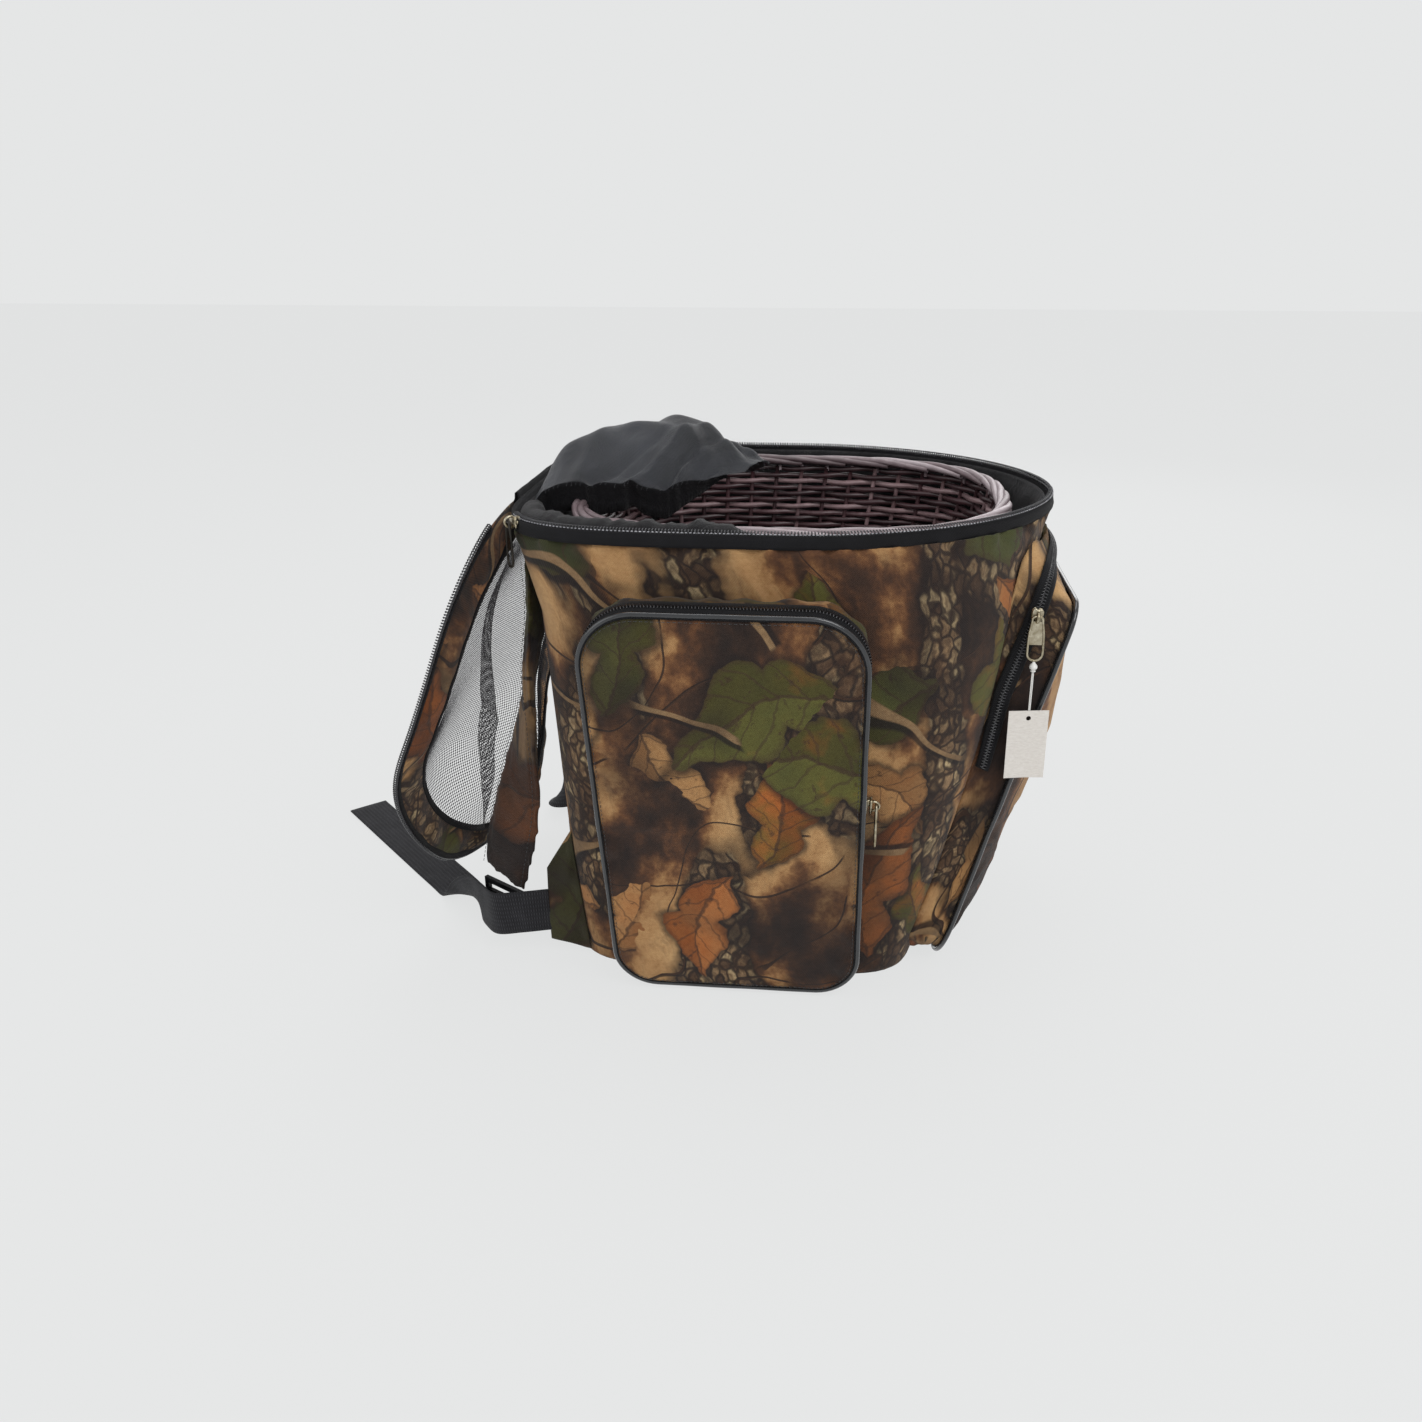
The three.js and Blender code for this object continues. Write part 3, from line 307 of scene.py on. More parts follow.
class Builder:
    """Gathers points, faces and cloth places of one piece."""

    def __init__(self):
        self.points, self.faces, self.cloth = [], [], []

    def add(self, points, faces, cloth=None):
        start = len(self.points)
        self.points.extend(np.asarray(points, float).reshape(-1, 3))
        self.faces.extend([[start + i for i in face] for face in faces])
        self.cloth.extend(np.asarray(points if cloth is None else cloth, float).reshape(-1, 3))

    def grid(self, rows, cloth=None, closed=False, wrapped=False, flip=False):
        """rows is an array of rows x columns x 3. closed joins the columns, wrapped joins the rows."""
        rows = np.asarray(rows, float)
        n, m = rows.shape[:2]
        faces = []
        for i in range(n if wrapped else n - 1):
            for j in range(m if closed else m - 1):
                a, b = i * m + j, i * m + (j + 1) % m
                c, d = ((i + 1) % n) * m + (j + 1) % m, ((i + 1) % n) * m + j
                faces.append([d, c, b, a] if flip else [a, b, c, d])
        self.add(rows.reshape(-1, 3), faces, cloth)

    def close_ends(self, first, sides):
        """A face over each end of the tube that was added last, whose points start at first."""
        last = len(self.points) - sides
        self.faces.append(list(range(first, first + sides)))
        self.faces.append(list(range(last + sides - 1, last - 1, -1)))

    def tube(self, path, radius, sides=8, closed=False, flat=1.0, up=UP, rod=None):
        """A round or flattened section swept along a path; radius may be one number or one per point.
        A rod's own number gives it cloth places along and round it."""
        path = np.asarray(path, float)
        n = len(path)
        radii = np.broadcast_to(np.asarray(radius, float), (n,))
        angles = (np.arange(sides) + 0.5) / sides * 2 * math.pi
        rows = []
        side = None
        for i in range(n):
            before = path[(i - 1) % n] if closed else path[max(i - 1, 0)]
            after = path[(i + 1) % n] if closed else path[min(i + 1, n - 1)]
            along = unit(after - before)
            if closed or side is None:
                guide = up if abs(np.dot(along, unit(up))) < 0.95 else SIDEWAYS
            else:
                guide = np.cross(side, along)
            side = unit(np.cross(along, guide))
            lift = np.cross(side, along)
            ring = [math.cos(a) * side + flat * math.sin(a) * lift for a in angles]
            rows.append([path[i] + radii[i] * way for way in ring])
        cloth = None
        if rod is not None:
            round_it = [2.0 * math.sin(2 * math.pi * j / sides) for j in range(sides)]
            cloth = [(along, around, rod) for along in lengths(path) for around in round_it]
        first = len(self.points)
        self.grid(np.array(rows), cloth, closed=True, wrapped=closed)
        if not closed:
            self.close_ends(first, sides)

    def block(self, centre, half, axes):
        """A small box with its half sizes along three axes."""
        corners = [(x, y, z) for x in (-1, 1) for y in (-1, 1) for z in (-1, 1)]
        points = [centre + sum(c * h * a for c, h, a in zip(corner, half, axes)) for corner in corners]
        faces = [[0, 1, 3, 2], [4, 6, 7, 5], [0, 4, 5, 1], [2, 3, 7, 6], [0, 2, 6, 4], [1, 5, 7, 3]]
        self.add(points, faces)

    def piece(self, name, body, slot, finish, smooth=True):
        """The piece that was gathered, riding on a body."""
        piece = mesh_object(name, self.points, self.faces, finish, self.cloth, smooth)
        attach(piece, body)
        return piece


def thicken(piece, thickness, offset=-1.0):
    """Gives a sheet its real thickness."""
    m = piece.modifiers.new("thickness", "SOLIDIFY")
    m.thickness = thickness * MM
    m.offset = offset
    m.use_even_offset = False
    return piece


def round_edges(piece, width):
    """Rounds a solid's sharp edges over."""
    m = piece.modifiers.new("bevel", "BEVEL")
    m.width = width * MM
    m.segments = 2
    m.limit_method = "ANGLE"
    m.angle_limit = math.radians(35)


def recalculated(piece):
    """Turns every face outwards."""
    bm = bmesh.new()
    bm.from_mesh(piece.data)
    bmesh.ops.recalc_face_normals(bm, faces=bm.faces)
    bm.to_mesh(piece.data)
    bm.free()
    return piece


def finer(piece):
    """Subdivides a simulated piece once."""
    m = piece.modifiers.new("finer", "SUBSURF")
    m.levels = m.render_levels = 1


# Materials.
def srgb(red, green, blue):
    """A colour written as 0 to 255, as the shader wants it."""
    def linear(v):
        v /= 255
        return v / 12.92 if v <= 0.04045 else ((v + 0.055) / 1.055) ** 2.4
    return (linear(red), linear(green), linear(blue), 1.0)


class Finish:
    """A node material and short ways to add its nodes."""

    def __init__(self, name, color, roughness, **fixed):
        self.material = bpy.data.materials.new(name)
        self.material.use_nodes = True
        self.tree = self.material.node_tree
        self.shader = self.tree.nodes["Principled BSDF"]
        self.shader.inputs["Base Color"].default_value = color
        self.shader.inputs["Roughness"].default_value = roughness
        for key, value in fixed.items():
            self.shader.inputs[key.replace("_", " ")].default_value = value

    def node(self, kind, out=0, settings=None, **inputs):
        made = self.tree.nodes.new(kind)
        for key, value in (settings or {}).items():
            setattr(made, key, value)
        for key, value in inputs.items():
            name = key[1:] if key[0] == "i" and key[1:].isdigit() else key.replace("_", " ")
            socket = made.inputs[int(name)] if name.isdigit() else made.inputs[name]
            self.feed(socket, value)
        return made.outputs[out]

    def feed(self, socket, value):
        if isinstance(value, bpy.types.NodeSocket):
            self.tree.links.new(value, socket)
        elif hasattr(value, "__len__") and socket.type == "RGBA" and len(value) == 3:
            socket.default_value = (*value, 1.0)
        else:
            socket.default_value = value

    def math(self, operation, a, b=0.0, c=0.0, clamp=False):
        settings = {"operation": operation, "use_clamp": clamp}
        return self.node("ShaderNodeMath", settings=settings, i0=a, i1=b, i2=c)

    def vector(self, operation, a, b):
        return self.node("ShaderNodeVectorMath", settings={"operation": operation}, i0=a, i1=b)

    def scaled(self, v, share):
        return self.node("ShaderNodeVectorMath", settings={"operation": "SCALE"}, i0=v, Scale=share)

    def step(self, value, low, high, start=0.0, end=1.0):
        """start below low, end above high, smooth between."""
        return self.node("ShaderNodeMapRange", settings={"interpolation_type": "SMOOTHSTEP"},
                         i0=value, i1=low, i2=high, i3=start, i4=end)

    def blend(self, share, a, b, kind="MIX"):
        """a where share is 0, b where it is 1."""
        made = self.tree.nodes.new("ShaderNodeMix")
        made.data_type = "RGBA"
        made.blend_type = kind
        self.feed(made.inputs["Factor"], share)
        self.feed(made.inputs[6], a)
        self.feed(made.inputs[7], b)
        return made.outputs[2]

    def noise(self, where, scale, detail=2.0, roughness=0.5, distortion=0.0, out=0):
        return self.node("ShaderNodeTexNoise", out, Vector=where, Scale=scale, Detail=detail,
                         Roughness=roughness, Distortion=distortion)

    def cells(self, where, scale, feature="F1", randomness=1.0, out="Distance"):
        """One output of a cell pattern, or several where out names several."""
        made = self.tree.nodes.new("ShaderNodeTexVoronoi")
        made.feature = feature
        self.feed(made.inputs["Vector"], where)
        self.feed(made.inputs["Scale"], scale)
        self.feed(made.inputs["Randomness"], randomness)
        return made.outputs[out] if isinstance(out, str) else [made.outputs[o] for o in out]

    def ramp(self, share, stops, smooth=False):
        made = self.tree.nodes.new("ShaderNodeValToRGB")
        made.color_ramp.interpolation = "B_SPLINE" if smooth else "LINEAR"
        elements = made.color_ramp.elements
        while len(elements) < len(stops):
            elements.new(0.5)
        for element, (place, color) in zip(elements, stops):
            element.position = place
            element.color = color
        self.feed(made.inputs[0], share)
        return made.outputs[0]

    def split(self, v):
        made = self.tree.nodes.new("ShaderNodeSeparateXYZ")
        self.feed(made.inputs[0], v)
        return made.outputs

    def join(self, x, y, z=0.0):
        return self.node("ShaderNodeCombineXYZ", X=x, Y=y, Z=z)

    def cloth(self):
        """The place on the flat cloth, in metres."""
        return self.node("ShaderNodeAttribute", "Vector", {"attribute_name": "cloth"})

    def object_place(self):
        return self.node("ShaderNodeTexCoord", "Object")

    def bump(self, height, strength, distance):
        normal = self.node("ShaderNodeBump", Strength=strength, Distance=distance, Height=height)
        self.tree.links.new(normal, self.shader.inputs["Normal"])

    def color(self, socket):
        self.tree.links.new(socket, self.shader.inputs["Base Color"])

    def roughness(self, socket):
        self.tree.links.new(socket, self.shader.inputs["Roughness"])

    def weave(self, place, per_metre):
        """A plain weave: threads over and under each other."""
        x, y, _ = self.split(place)
        turns = 2 * math.pi * per_metre
        one = self.math("SINE", self.math("MULTIPLY", x, turns))
        two = self.math("SINE", self.math("MULTIPLY", y, turns))
        return self.math("MULTIPLY", one, two)


TAN, KHAKI = srgb(172, 130, 84), srgb(206, 168, 118)
RUST, CINNAMON = srgb(168, 96, 44), srgb(112, 72, 44)
OLIVE, MOSS = srgb(92, 90, 42), srgb(62, 68, 38)
UMBER, CHARCOAL = srgb(62, 44, 34), srgb(32, 25, 24)
STRAW, STEM = srgb(204, 182, 140), srgb(176, 144, 104)
GREEN_LEAVES = [(0.2, MOSS), (0.45, OLIVE), (0.6, RUST), (0.95, TAN)]
FALLEN_LEAVES = [(0.25, CINNAMON), (0.5, RUST), (0.7, OLIVE), (1.0, MOSS)]

# Each layer of leaves: how many cells to a metre, its offset, the leaves' length and width as shares of a
# cell, how often their edge lobes, the share of cells that hold one, and their colours.
LEAVES = [
    (9.0, (0.31, 0.11, 0.0), 0.46, 0.21, 8.0, 0.4, GREEN_LEAVES),
    (6.0, (0.07, 0.53, 0.0), 0.45, 0.23, 9.0, 0.46, FALLEN_LEAVES),
]


def leaf_layer(f, place, color, leaf):
    """Scattered long leaves over what is below: two halves of unlike light, fine veins and a soft shadow."""
    per_metre, offset, length, width, lobes, present, palette = leaf
    moved = f.vector("ADD", place, offset)
    where, random = f.cells(moved, per_metre, randomness=0.75, out=("Position", "Color"))
    local = f.vector("SUBTRACT", f.scaled(moved, per_metre), f.scaled(where, per_metre))
    red, green, blue = f.split(random)
    laid = f.node("ShaderNodeVectorRotate", settings={"rotation_type": "Z_AXIS"}, Vector=local,
                  Angle=f.math("MULTIPLY", red, 2 * math.pi))
    x, y, _ = f.split(laid)
    y = f.math("ADD", y, f.math("MULTIPLY", f.math("MULTIPLY", x, x), 0.7))
    side = f.math("ABSOLUTE", y)
    along = f.math("DIVIDE", x, length)
    taper = f.math("SUBTRACT", 1.0, f.math("MULTIPLY", along, along), clamp=True)
    wave = f.math("MULTIPLY_ADD", side, 5.0, f.math("MULTIPLY", x, lobes))
    lobe = f.math("ABSOLUTE", f.math("SINE", wave))
    reach = f.math("MULTIPLY", taper, f.math("MULTIPLY_ADD", lobe, 0.5 * width, 0.58 * width))
    deep = f.math("SUBTRACT", reach, side)
    here = f.math("GREATER_THAN", green, 1 - present)
    shadow = f.math("MULTIPLY", f.step(deep, -0.07, 0.0, 0.0, 0.72), here)
    color = f.blend(shadow, color, CHARCOAL)
    soft = f.noise(place, 26, 3, 0.55)
    tone = f.ramp(f.math("MULTIPLY_ADD", soft, 0.5, f.math("MULTIPLY", blue, 0.75)), palette)
    tone = f.blend(f.step(y, -0.012, 0.012, 0.0, 0.42), tone, f.blend(1.0, tone, CINNAMON, "MULTIPLY"))
    tone = f.blend(f.step(deep, 0.0, 0.05, 0.5, 0.0), tone, UMBER)
    tone = f.blend(f.step(side, 0.004, 0.014, 0.7, 0.0), tone, UMBER)
    comb = f.math("SINE", f.math("MULTIPLY", f.math("MULTIPLY_ADD", side, -0.9, x), 44.0))
    tone = f.blend(f.step(comb, 0.9, 1.0, 0.0, 0.5), tone, UMBER)
    spots = f.noise(place, 120, 3, 0.6)
    tone = f.blend(f.step(spots, 0.6, 0.7, 0.0, 0.6), tone, UMBER)
    inside = f.math("MULTIPLY", f.step(deep, -0.004, 0.008), here)
    return f.blend(inside, color, tone)


def twig_layer(f, place, color, scale, offset, width, tone, gap):
    """Thin wandering stems with a dark side; gap says how much of them is left out."""
    moved = f.vector("ADD", place, offset)
    level = f.noise(moved, scale, 1, 0.35)
    off = f.math("SUBTRACT", level, 0.5)
    near = f.math("ABSOLUTE", off)
    breaks = f.noise(f.vector("ADD", place, (offset[1], offset[0], 0.3)), 11, 1, 0.5)
    present = f.step(breaks, gap, gap + 0.03)
    beside = f.math("ABSOLUTE", f.math("ADD", off, 0.8 * width))
    shade = f.math("MULTIPLY", f.step(beside, width, 1.8 * width, 0.85, 0.0), present)
    stem = f.math("MULTIPLY", f.step(near, 0.6 * width, 1.0 * width, 1.0, 0.0), present)
    return f.blend(stem, f.blend(shade, color, CHARCOAL), tone)


def camo(name, painted_shade):
    """A woodland print: out-of-focus ground, bark in upright bands, leaves and stems, on canvas.
    The second argument is how far the whole print is darkened towards charcoal: painted shade for pieces that
    lie in shadow."""
    f = Finish(name, TAN, 0.82, Sheen_Weight=0.1, Sheen_Roughness=0.5, Specular_IOR_Level=0.25)
    place = f.cloth()
    sway = f.noise(place, 9, 2, 0.5, out="Color")
    swayed = f.vector("ADD", place, f.scaled(f.vector("SUBTRACT", sway, (0.5, 0.5, 0.5)), 0.04))
    fray = f.noise(place, 55, 2, 0.6, out="Color")
    torn = f.vector("ADD", swayed, f.scaled(f.vector("SUBTRACT", fray, (0.5, 0.5, 0.5)), 0.012))
    mottle = f.noise(place, 60, 6, 0.66)
    broad = f.noise(f.vector("MULTIPLY", torn, (1.35, 0.75, 1.0)), 7.0, 5, 0.56)
    color = f.ramp(f.math("MULTIPLY_ADD", mottle, 0.14, f.math("MULTIPLY", broad, 0.92)), [
        (0.4, CHARCOAL), (0.47, UMBER), (0.515, CINNAMON), (0.55, TAN), (0.66, KHAKI)], smooth=True)
    streak = f.noise(f.vector("MULTIPLY", torn, (3.2, 0.7, 1.0)), 26, 4, 0.6)
    color = f.blend(f.step(streak, 0.5, 0.72, 0.0, 0.5), color, UMBER)

    stretched = f.vector("MULTIPLY", torn, (1.0, 0.6, 1.0))
    rift = f.cells(stretched, 125, "DISTANCE_TO_EDGE")
    plate = f.split(f.cells(stretched, 125, out="Color"))[0]
    bark = f.ramp(f.math("MULTIPLY_ADD", mottle, 0.6, f.math("MULTIPLY", plate, 0.42)), [
        (0.25, UMBER), (0.42, srgb(108, 84, 62)), (0.58, srgb(158, 130, 96)), (0.75, STRAW)])
    cracks = f.math("MULTIPLY_ADD", mottle, -0.16, rift)
    bark = f.blend(f.step(cracks, -0.04, 0.12, 0.88, 0.0), bark, CHARCOAL)
    trunk = f.noise(f.vector("MULTIPLY", torn, (1.5, 0.5, 1.0)), 7.5, 2, 0.4)
    grit = f.noise(f.vector("MULTIPLY", torn, (2.2, 0.8, 1.0)), 160, 3, 0.65)
    bark = f.blend(f.step(grit, 0.42, 0.62, 0.55, 0.0), bark, UMBER)
    bark = f.blend(f.step(trunk, 0.52, 0.62, 0.6, 0.0), bark, CHARCOAL)
    color = f.blend(f.step(trunk, 0.49, 0.525, 0.0, 0.7), color, CHARCOAL)
    color = f.blend(f.step(trunk, 0.52, 0.53), color, bark)

    color = twig_layer(f, swayed, color, 5.5, (2.3, 0.9, 0.0), 0.0022, UMBER, 0.42)
    color = twig_layer(f, swayed, color, 8.0, (0.4, 3.1, 0.0), 0.0028, UMBER, 0.44)
    for leaf in LEAVES:
        color = leaf_layer(f, torn, color, leaf)
    color = twig_layer(f, swayed, color, 4.2, (0.8, 1.9, 0.0), 0.0065, f.blend(mottle, STEM, UMBER), 0.47)
    shade = f.noise(f.vector("ADD", swayed, (3.1, 1.7, 0.0)), 8, 2, 0.5)
    color = f.blend(f.step(shade, 0.54, 0.68, 0.0, 0.7), color, CHARCOAL)
    grain = f.noise(place, 420, 3, 0.6)
    color = f.blend(f.step(grain, 0.3, 0.8, 0.0, 0.3), color, f.blend(1.0, color, TAN, "MULTIPLY"))
    # Painted shade: the whole print is darkened towards charcoal by the given share.
    f.color(f.blend(painted_shade, color, CHARCOAL))
    threads = f.weave(place, 620)
    height = f.math("MULTIPLY_ADD", f.noise(place, 70, 3, 0.6), 0.7, f.math("MULTIPLY", threads, 0.28))
    f.bump(height, 0.5, 0.0011)
    return f.material


def woven_tape(name, color, edge, ribs, roughness=0.7, cords=0.0):
    """Black webbing or tape with ribs across it; cords adds lines along it."""
    f = Finish(name, color, roughness, Sheen_Weight=0.04, Sheen_Roughness=0.4, Specular_IOR_Level=0.22)
    place = f.cloth()
    x, y, _ = f.split(place)
    rib = f.math("SINE", f.math("MULTIPLY", x, 2 * math.pi * ribs))
    cord = f.math("SINE", f.math("MULTIPLY", y, 2 * math.pi * ribs * 0.55))
    weave = f.math("MULTIPLY_ADD", f.math("MULTIPLY", rib, cord), 0.6, f.math("MULTIPLY", rib, cords))
    worn = f.noise(place, 60, 4, 0.6)
    share = f.math("MULTIPLY_ADD", f.step(weave, -0.4, 0.9), 0.5, f.math("MULTIPLY", worn, 0.5))
    f.color(f.ramp(share, [(0.25, color), (0.85, edge)]))
    f.bump(weave, 0.55, 0.0004)
    return f.material


def nylon(name, dark, light, roughness, shine):
    """Thin coated lining cloth with a satin shine."""
    f = Finish(name, light, roughness, Sheen_Weight=0.1, Specular_IOR_Level=shine)
    place = f.cloth()
    blotch = f.noise(place, 22, 4, 0.6)
    f.color(f.ramp(blotch, [(0.3, dark), (0.7, light)]))
    threads = f.weave(place, 900)
    creases = f.noise(place, 55, 4, 0.65, 0.8)
    f.bump(f.math("MULTIPLY_ADD", creases, 1.0, f.math("MULTIPLY", threads, 0.08)), 0.7, 0.005)
    return f.material


def glossy(name, dark, light, roughness, grain=0.0003, scale=260, **fixed):
    """Moulded plastic or coated cord with a fine grain and a little wear."""
    f = Finish(name, light, roughness, **fixed)
    place = f.object_place()
    wear = f.noise(place, scale * 0.25, 4, 0.6)
    f.color(f.ramp(wear, [(0.3, dark), (0.75, light)]))
    f.roughness(f.step(wear, 0.2, 0.8, roughness * 0.8, min(roughness * 1.3, 1.0)))
    f.bump(f.noise(place, scale, 3, 0.6), 0.3, grain)
    return f.material


def wicker(name, deep, middle, pale):
    """Peeled and stained willow: each rod its own tone, with streaks along it and a dull shine."""
    f = Finish(name, middle, 0.42, Specular_IOR_Level=0.55, Coat_Weight=0.15, Coat_Roughness=0.35)
    place = f.cloth()
    along, round_it, rod = f.split(place)
    tone = f.node("ShaderNodeTexWhiteNoise", settings={"noise_dimensions": "1D"},
                  W=f.math("ROUND", f.math("MULTIPLY", rod, 1000.0)))
    streak = f.noise(f.join(f.math("MULTIPLY", along, 0.08), round_it, rod), 900, 3, 0.6)
    mottle = f.noise(f.join(along, round_it, rod), 60, 4, 0.6)
    grain = f.math("MULTIPLY_ADD", streak, 0.4, f.math("MULTIPLY", mottle, 0.4))
    share = f.math("MULTIPLY_ADD", tone, 0.42, grain)
    f.color(f.ramp(share, [(0.3, deep), (0.6, middle), (0.92, pale)]))
    knots = f.step(f.noise(f.join(along, 0.0, rod), 55, 1, 0.5), 0.68, 0.8)
    f.bump(f.math("MULTIPLY_ADD", knots, 0.8, f.math("MULTIPLY", streak, 0.6)), 0.45, 0.0005)
    return f.material


def metal():
    """Plated zip metal, a little tarnished."""
    f = Finish("zip_metal", srgb(196, 186, 160), 0.3, Metallic=1.0)
    place = f.object_place()
    tarnish = f.noise(place, 180, 4, 0.6)
    f.color(f.ramp(tarnish, [(0.3, srgb(142, 130, 104)), (0.7, srgb(206, 198, 176))]))
    f.roughness(f.step(tarnish, 0.3, 0.7, 0.42, 0.24))
    f.bump(f.noise(place, 900, 2, 0.5), 0.12, 0.0002)
    return f.material


def card():
    """Plain pale card with a fine fibre."""
    f = Finish("tag_card", srgb(224, 219, 212), 0.85, Specular_IOR_Level=0.2)
    place = f.object_place()
    fibre = f.noise(f.vector("MULTIPLY", place, (1.0, 1.0, 3.0)), 300, 5, 0.7)
    f.color(f.ramp(fibre, [(0.3, srgb(212, 206, 199)), (0.7, srgb(229, 225, 219))]))
    f.bump(fibre, 0.2, 0.0002)
    return f.material


CAMO = camo("camo_canvas", 0.0)
# The print darkened with painted shade, for the straps and anchor tabs in the shadow of the lid.
CAMO_PAINTED_SHADE = camo("camo_canvas_strap", 0.55)
WEBBING = woven_tape("black_webbing", srgb(26, 26, 29), srgb(60, 60, 64), 480, cords=0.5)
TAPE_CLOTH = woven_tape("black_zip_tape", srgb(13, 13, 15), srgb(32, 32, 36), 760, 0.8)
NYLON = nylon("grey_nylon", srgb(29, 31, 36), srgb(51, 54, 61), 0.32, 0.5)
LINING = nylon("dark_lining", srgb(11, 10, 13), srgb(20, 19, 23), 0.6, 0.2)
PIPING = glossy("grey_piping", srgb(22, 24, 27), srgb(38, 41, 46), 0.24, Coat_Weight=0.7, Coat_Roughness=0.12)
NET = glossy("net_thread", srgb(20, 18, 24), srgb(40, 36, 44), 0.6)
COIL = glossy("zip_coil", srgb(22, 22, 25), srgb(44, 44, 50), 0.24, Coat_Weight=0.4, Coat_Roughness=0.12)
# Painted highlight: a pale finish for the short stitches that stand in for glints on the mouth zip's coil.
COIL_PAINTED_GLINT = glossy("zip_coil_edge", srgb(120, 120, 126), srgb(190, 190, 196), 0.3)
PLASTIC = glossy("black_plastic", srgb(18, 18, 20), srgb(34, 34, 38), 0.4)
WHITE = glossy("white_plastic", srgb(226, 225, 221), srgb(240, 239, 236), 0.45)
WICKER = wicker("wicker_weave", srgb(30, 17, 20), srgb(76, 50, 54), srgb(158, 132, 134))
WICKER_EDGE = wicker("wicker_border", srgb(62, 46, 49), srgb(116, 100, 104), srgb(176, 164, 168))
METAL = metal()
METAL_DARK = glossy("dark_metal", srgb(38, 36, 34), srgb(70, 66, 60), 0.3, Metallic=0.8)
CARD = card()


# The camera, the light and the ground.
def plain(name, color):
    """A matt ground that camera, mirror and glass see as the pale background of the picture."""
    f = Finish(name, (*color, 1.0), 0.9)
    tree = f.tree
    light_path = tree.nodes.new("ShaderNodeLightPath")
    seen = f.math("MAXIMUM", light_path.outputs["Is Camera Ray"], light_path.outputs["Is Glossy Ray"])
    seen = f.math("MAXIMUM", seen, light_path.outputs["Is Transmission Ray"])
    glow = tree.nodes.new("ShaderNodeEmission")
    glow.inputs["Color"].default_value = (*color, 1.0)
    join = tree.nodes.new("ShaderNodeMixShader")
    tree.links.new(f.math("MULTIPLY", seen, 0.9), join.inputs[0])
    tree.links.new(f.shader.outputs[0], join.inputs[1])
    tree.links.new(glow.outputs[0], join.inputs[2])
    tree.links.new(join.outputs[0], tree.nodes["Material Output"].inputs["Surface"])
    return f.material


def set_stage():
    scene = bpy.context.scene
    scene.view_settings.view_transform = "Standard"
    data = bpy.data.cameras.new("camera")
    data.lens = CAMERA_LENS
    data.shift_x = CAMERA_SHIFT
    data.clip_start = 0.01
    camera = bpy.data.objects.new("camera", data)
    scene.collection.objects.link(camera)
    camera.location = CAMERA_AT
    aim = Vector(CAMERA_AIM) - Vector(CAMERA_AT)
    camera.rotation_euler = aim.to_track_quat("-Z", "Y").to_euler()
    scene.camera = camera

    corners = [(x * FLOOR_REACH, y * FLOOR_REACH, 0) for x, y in ((-1, -1), (1, -1), (1, 1), (-1, 1))]
    mesh_object("floor", corners, [(0, 1, 2, 3)], plain("floor_ground", BACKGROUND), smooth=False)

    world = bpy.data.worlds.new("world")
    scene.world = world
    world.use_nodes = True
    tree = world.node_tree
    back = tree.nodes["Background"]
    back.inputs["Color"].default_value = (1.0, 1.0, 1.0, 1.0)
    back.inputs["Strength"].default_value = WORLD_LIGHT
    pale = tree.nodes.new("ShaderNodeBackground")
    pale.inputs["Color"].default_value = (*BACKGROUND, 1.0)
    pale.inputs["Strength"].default_value = 1.0
    light_path = tree.nodes.new("ShaderNodeLightPath")
    seen = tree.nodes.new("ShaderNodeMath")
    seen.operation = "MAXIMUM"
    tree.links.new(light_path.outputs["Is Camera Ray"], seen.inputs[0])
    tree.links.new(light_path.outputs["Is Transmission Ray"], seen.inputs[1])
    join = tree.nodes.new("ShaderNodeMixShader")
    tree.links.new(seen.outputs[0], join.inputs[0])
    tree.links.new(back.outputs[0], join.inputs[1])
    tree.links.new(pale.outputs[0], join.inputs[2])
    tree.links.new(join.outputs[0], tree.nodes["World Output"].inputs["Surface"])

    for name, place, size, power in LAMPS:
        light = bpy.data.lights.new(name, "AREA")
        light.shape = "DISK"
        light.size = size
        light.energy = power
        lamp = bpy.data.objects.new(name, light)
        lamp.location = place
        lamp.rotation_euler = (Vector(LAMP_AIM) - Vector(place)).to_track_quat("-Z", "Y").to_euler()
        scene.collection.objects.link(lamp)


set_stage()


# The tag, its string and its lock, which hang plumb from the front pocket's pull.
STRING = {"width": 1.8, "strand": 0.42, "apart": 0.48, "length": 30.0}
TAG = {"width": 30.0, "height": 54.0, "thickness": 0.5, "hole": 1.8, "hole_inset": 6.0, "turn": 8.0,
       "curl": 0.9}

# The lock's outline from the top: radius and height.
LOCK_OUTLINE = [
    (0.05, 0), (0.7, -0.2), (1.1, -1.2), (1.6, -1.9), (2.7, -3.2), (3.0, -4.4), (2.6, -5.6), (1.6, -6.3),
    (1.5, -7.0), (2.0, -7.4), (1.9, -7.9), (0.05, -8.0),
]


def top_of(node):
    """The middle of a node's top."""
    low, high = np.array(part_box(node)) / MM
    return np.array([*(low + high)[:2] / 2, high[2]])


PLUMB = top_of("tag_string")


def tag_string(lock, tag):
    """Two thin strands side by side, from the lock down to the tag's hole."""
    b = Builder()
    steps = 20
    down = np.linspace(0, 1, steps + 1)
    for side in (-1, 1):
        apart = [side * mix(STRING["strand"], STRING["apart"], math.sin(math.pi * t)) for t in down]
        b.tube([PLUMB + (0, y, -STRING["length"] * t) for y, t in zip(apart, down)], STRING["strand"])
    piece = b.piece("tag_string_strands", "front_zip_pull", "white_plastic", WHITE)
    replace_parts(piece, "tag_string")


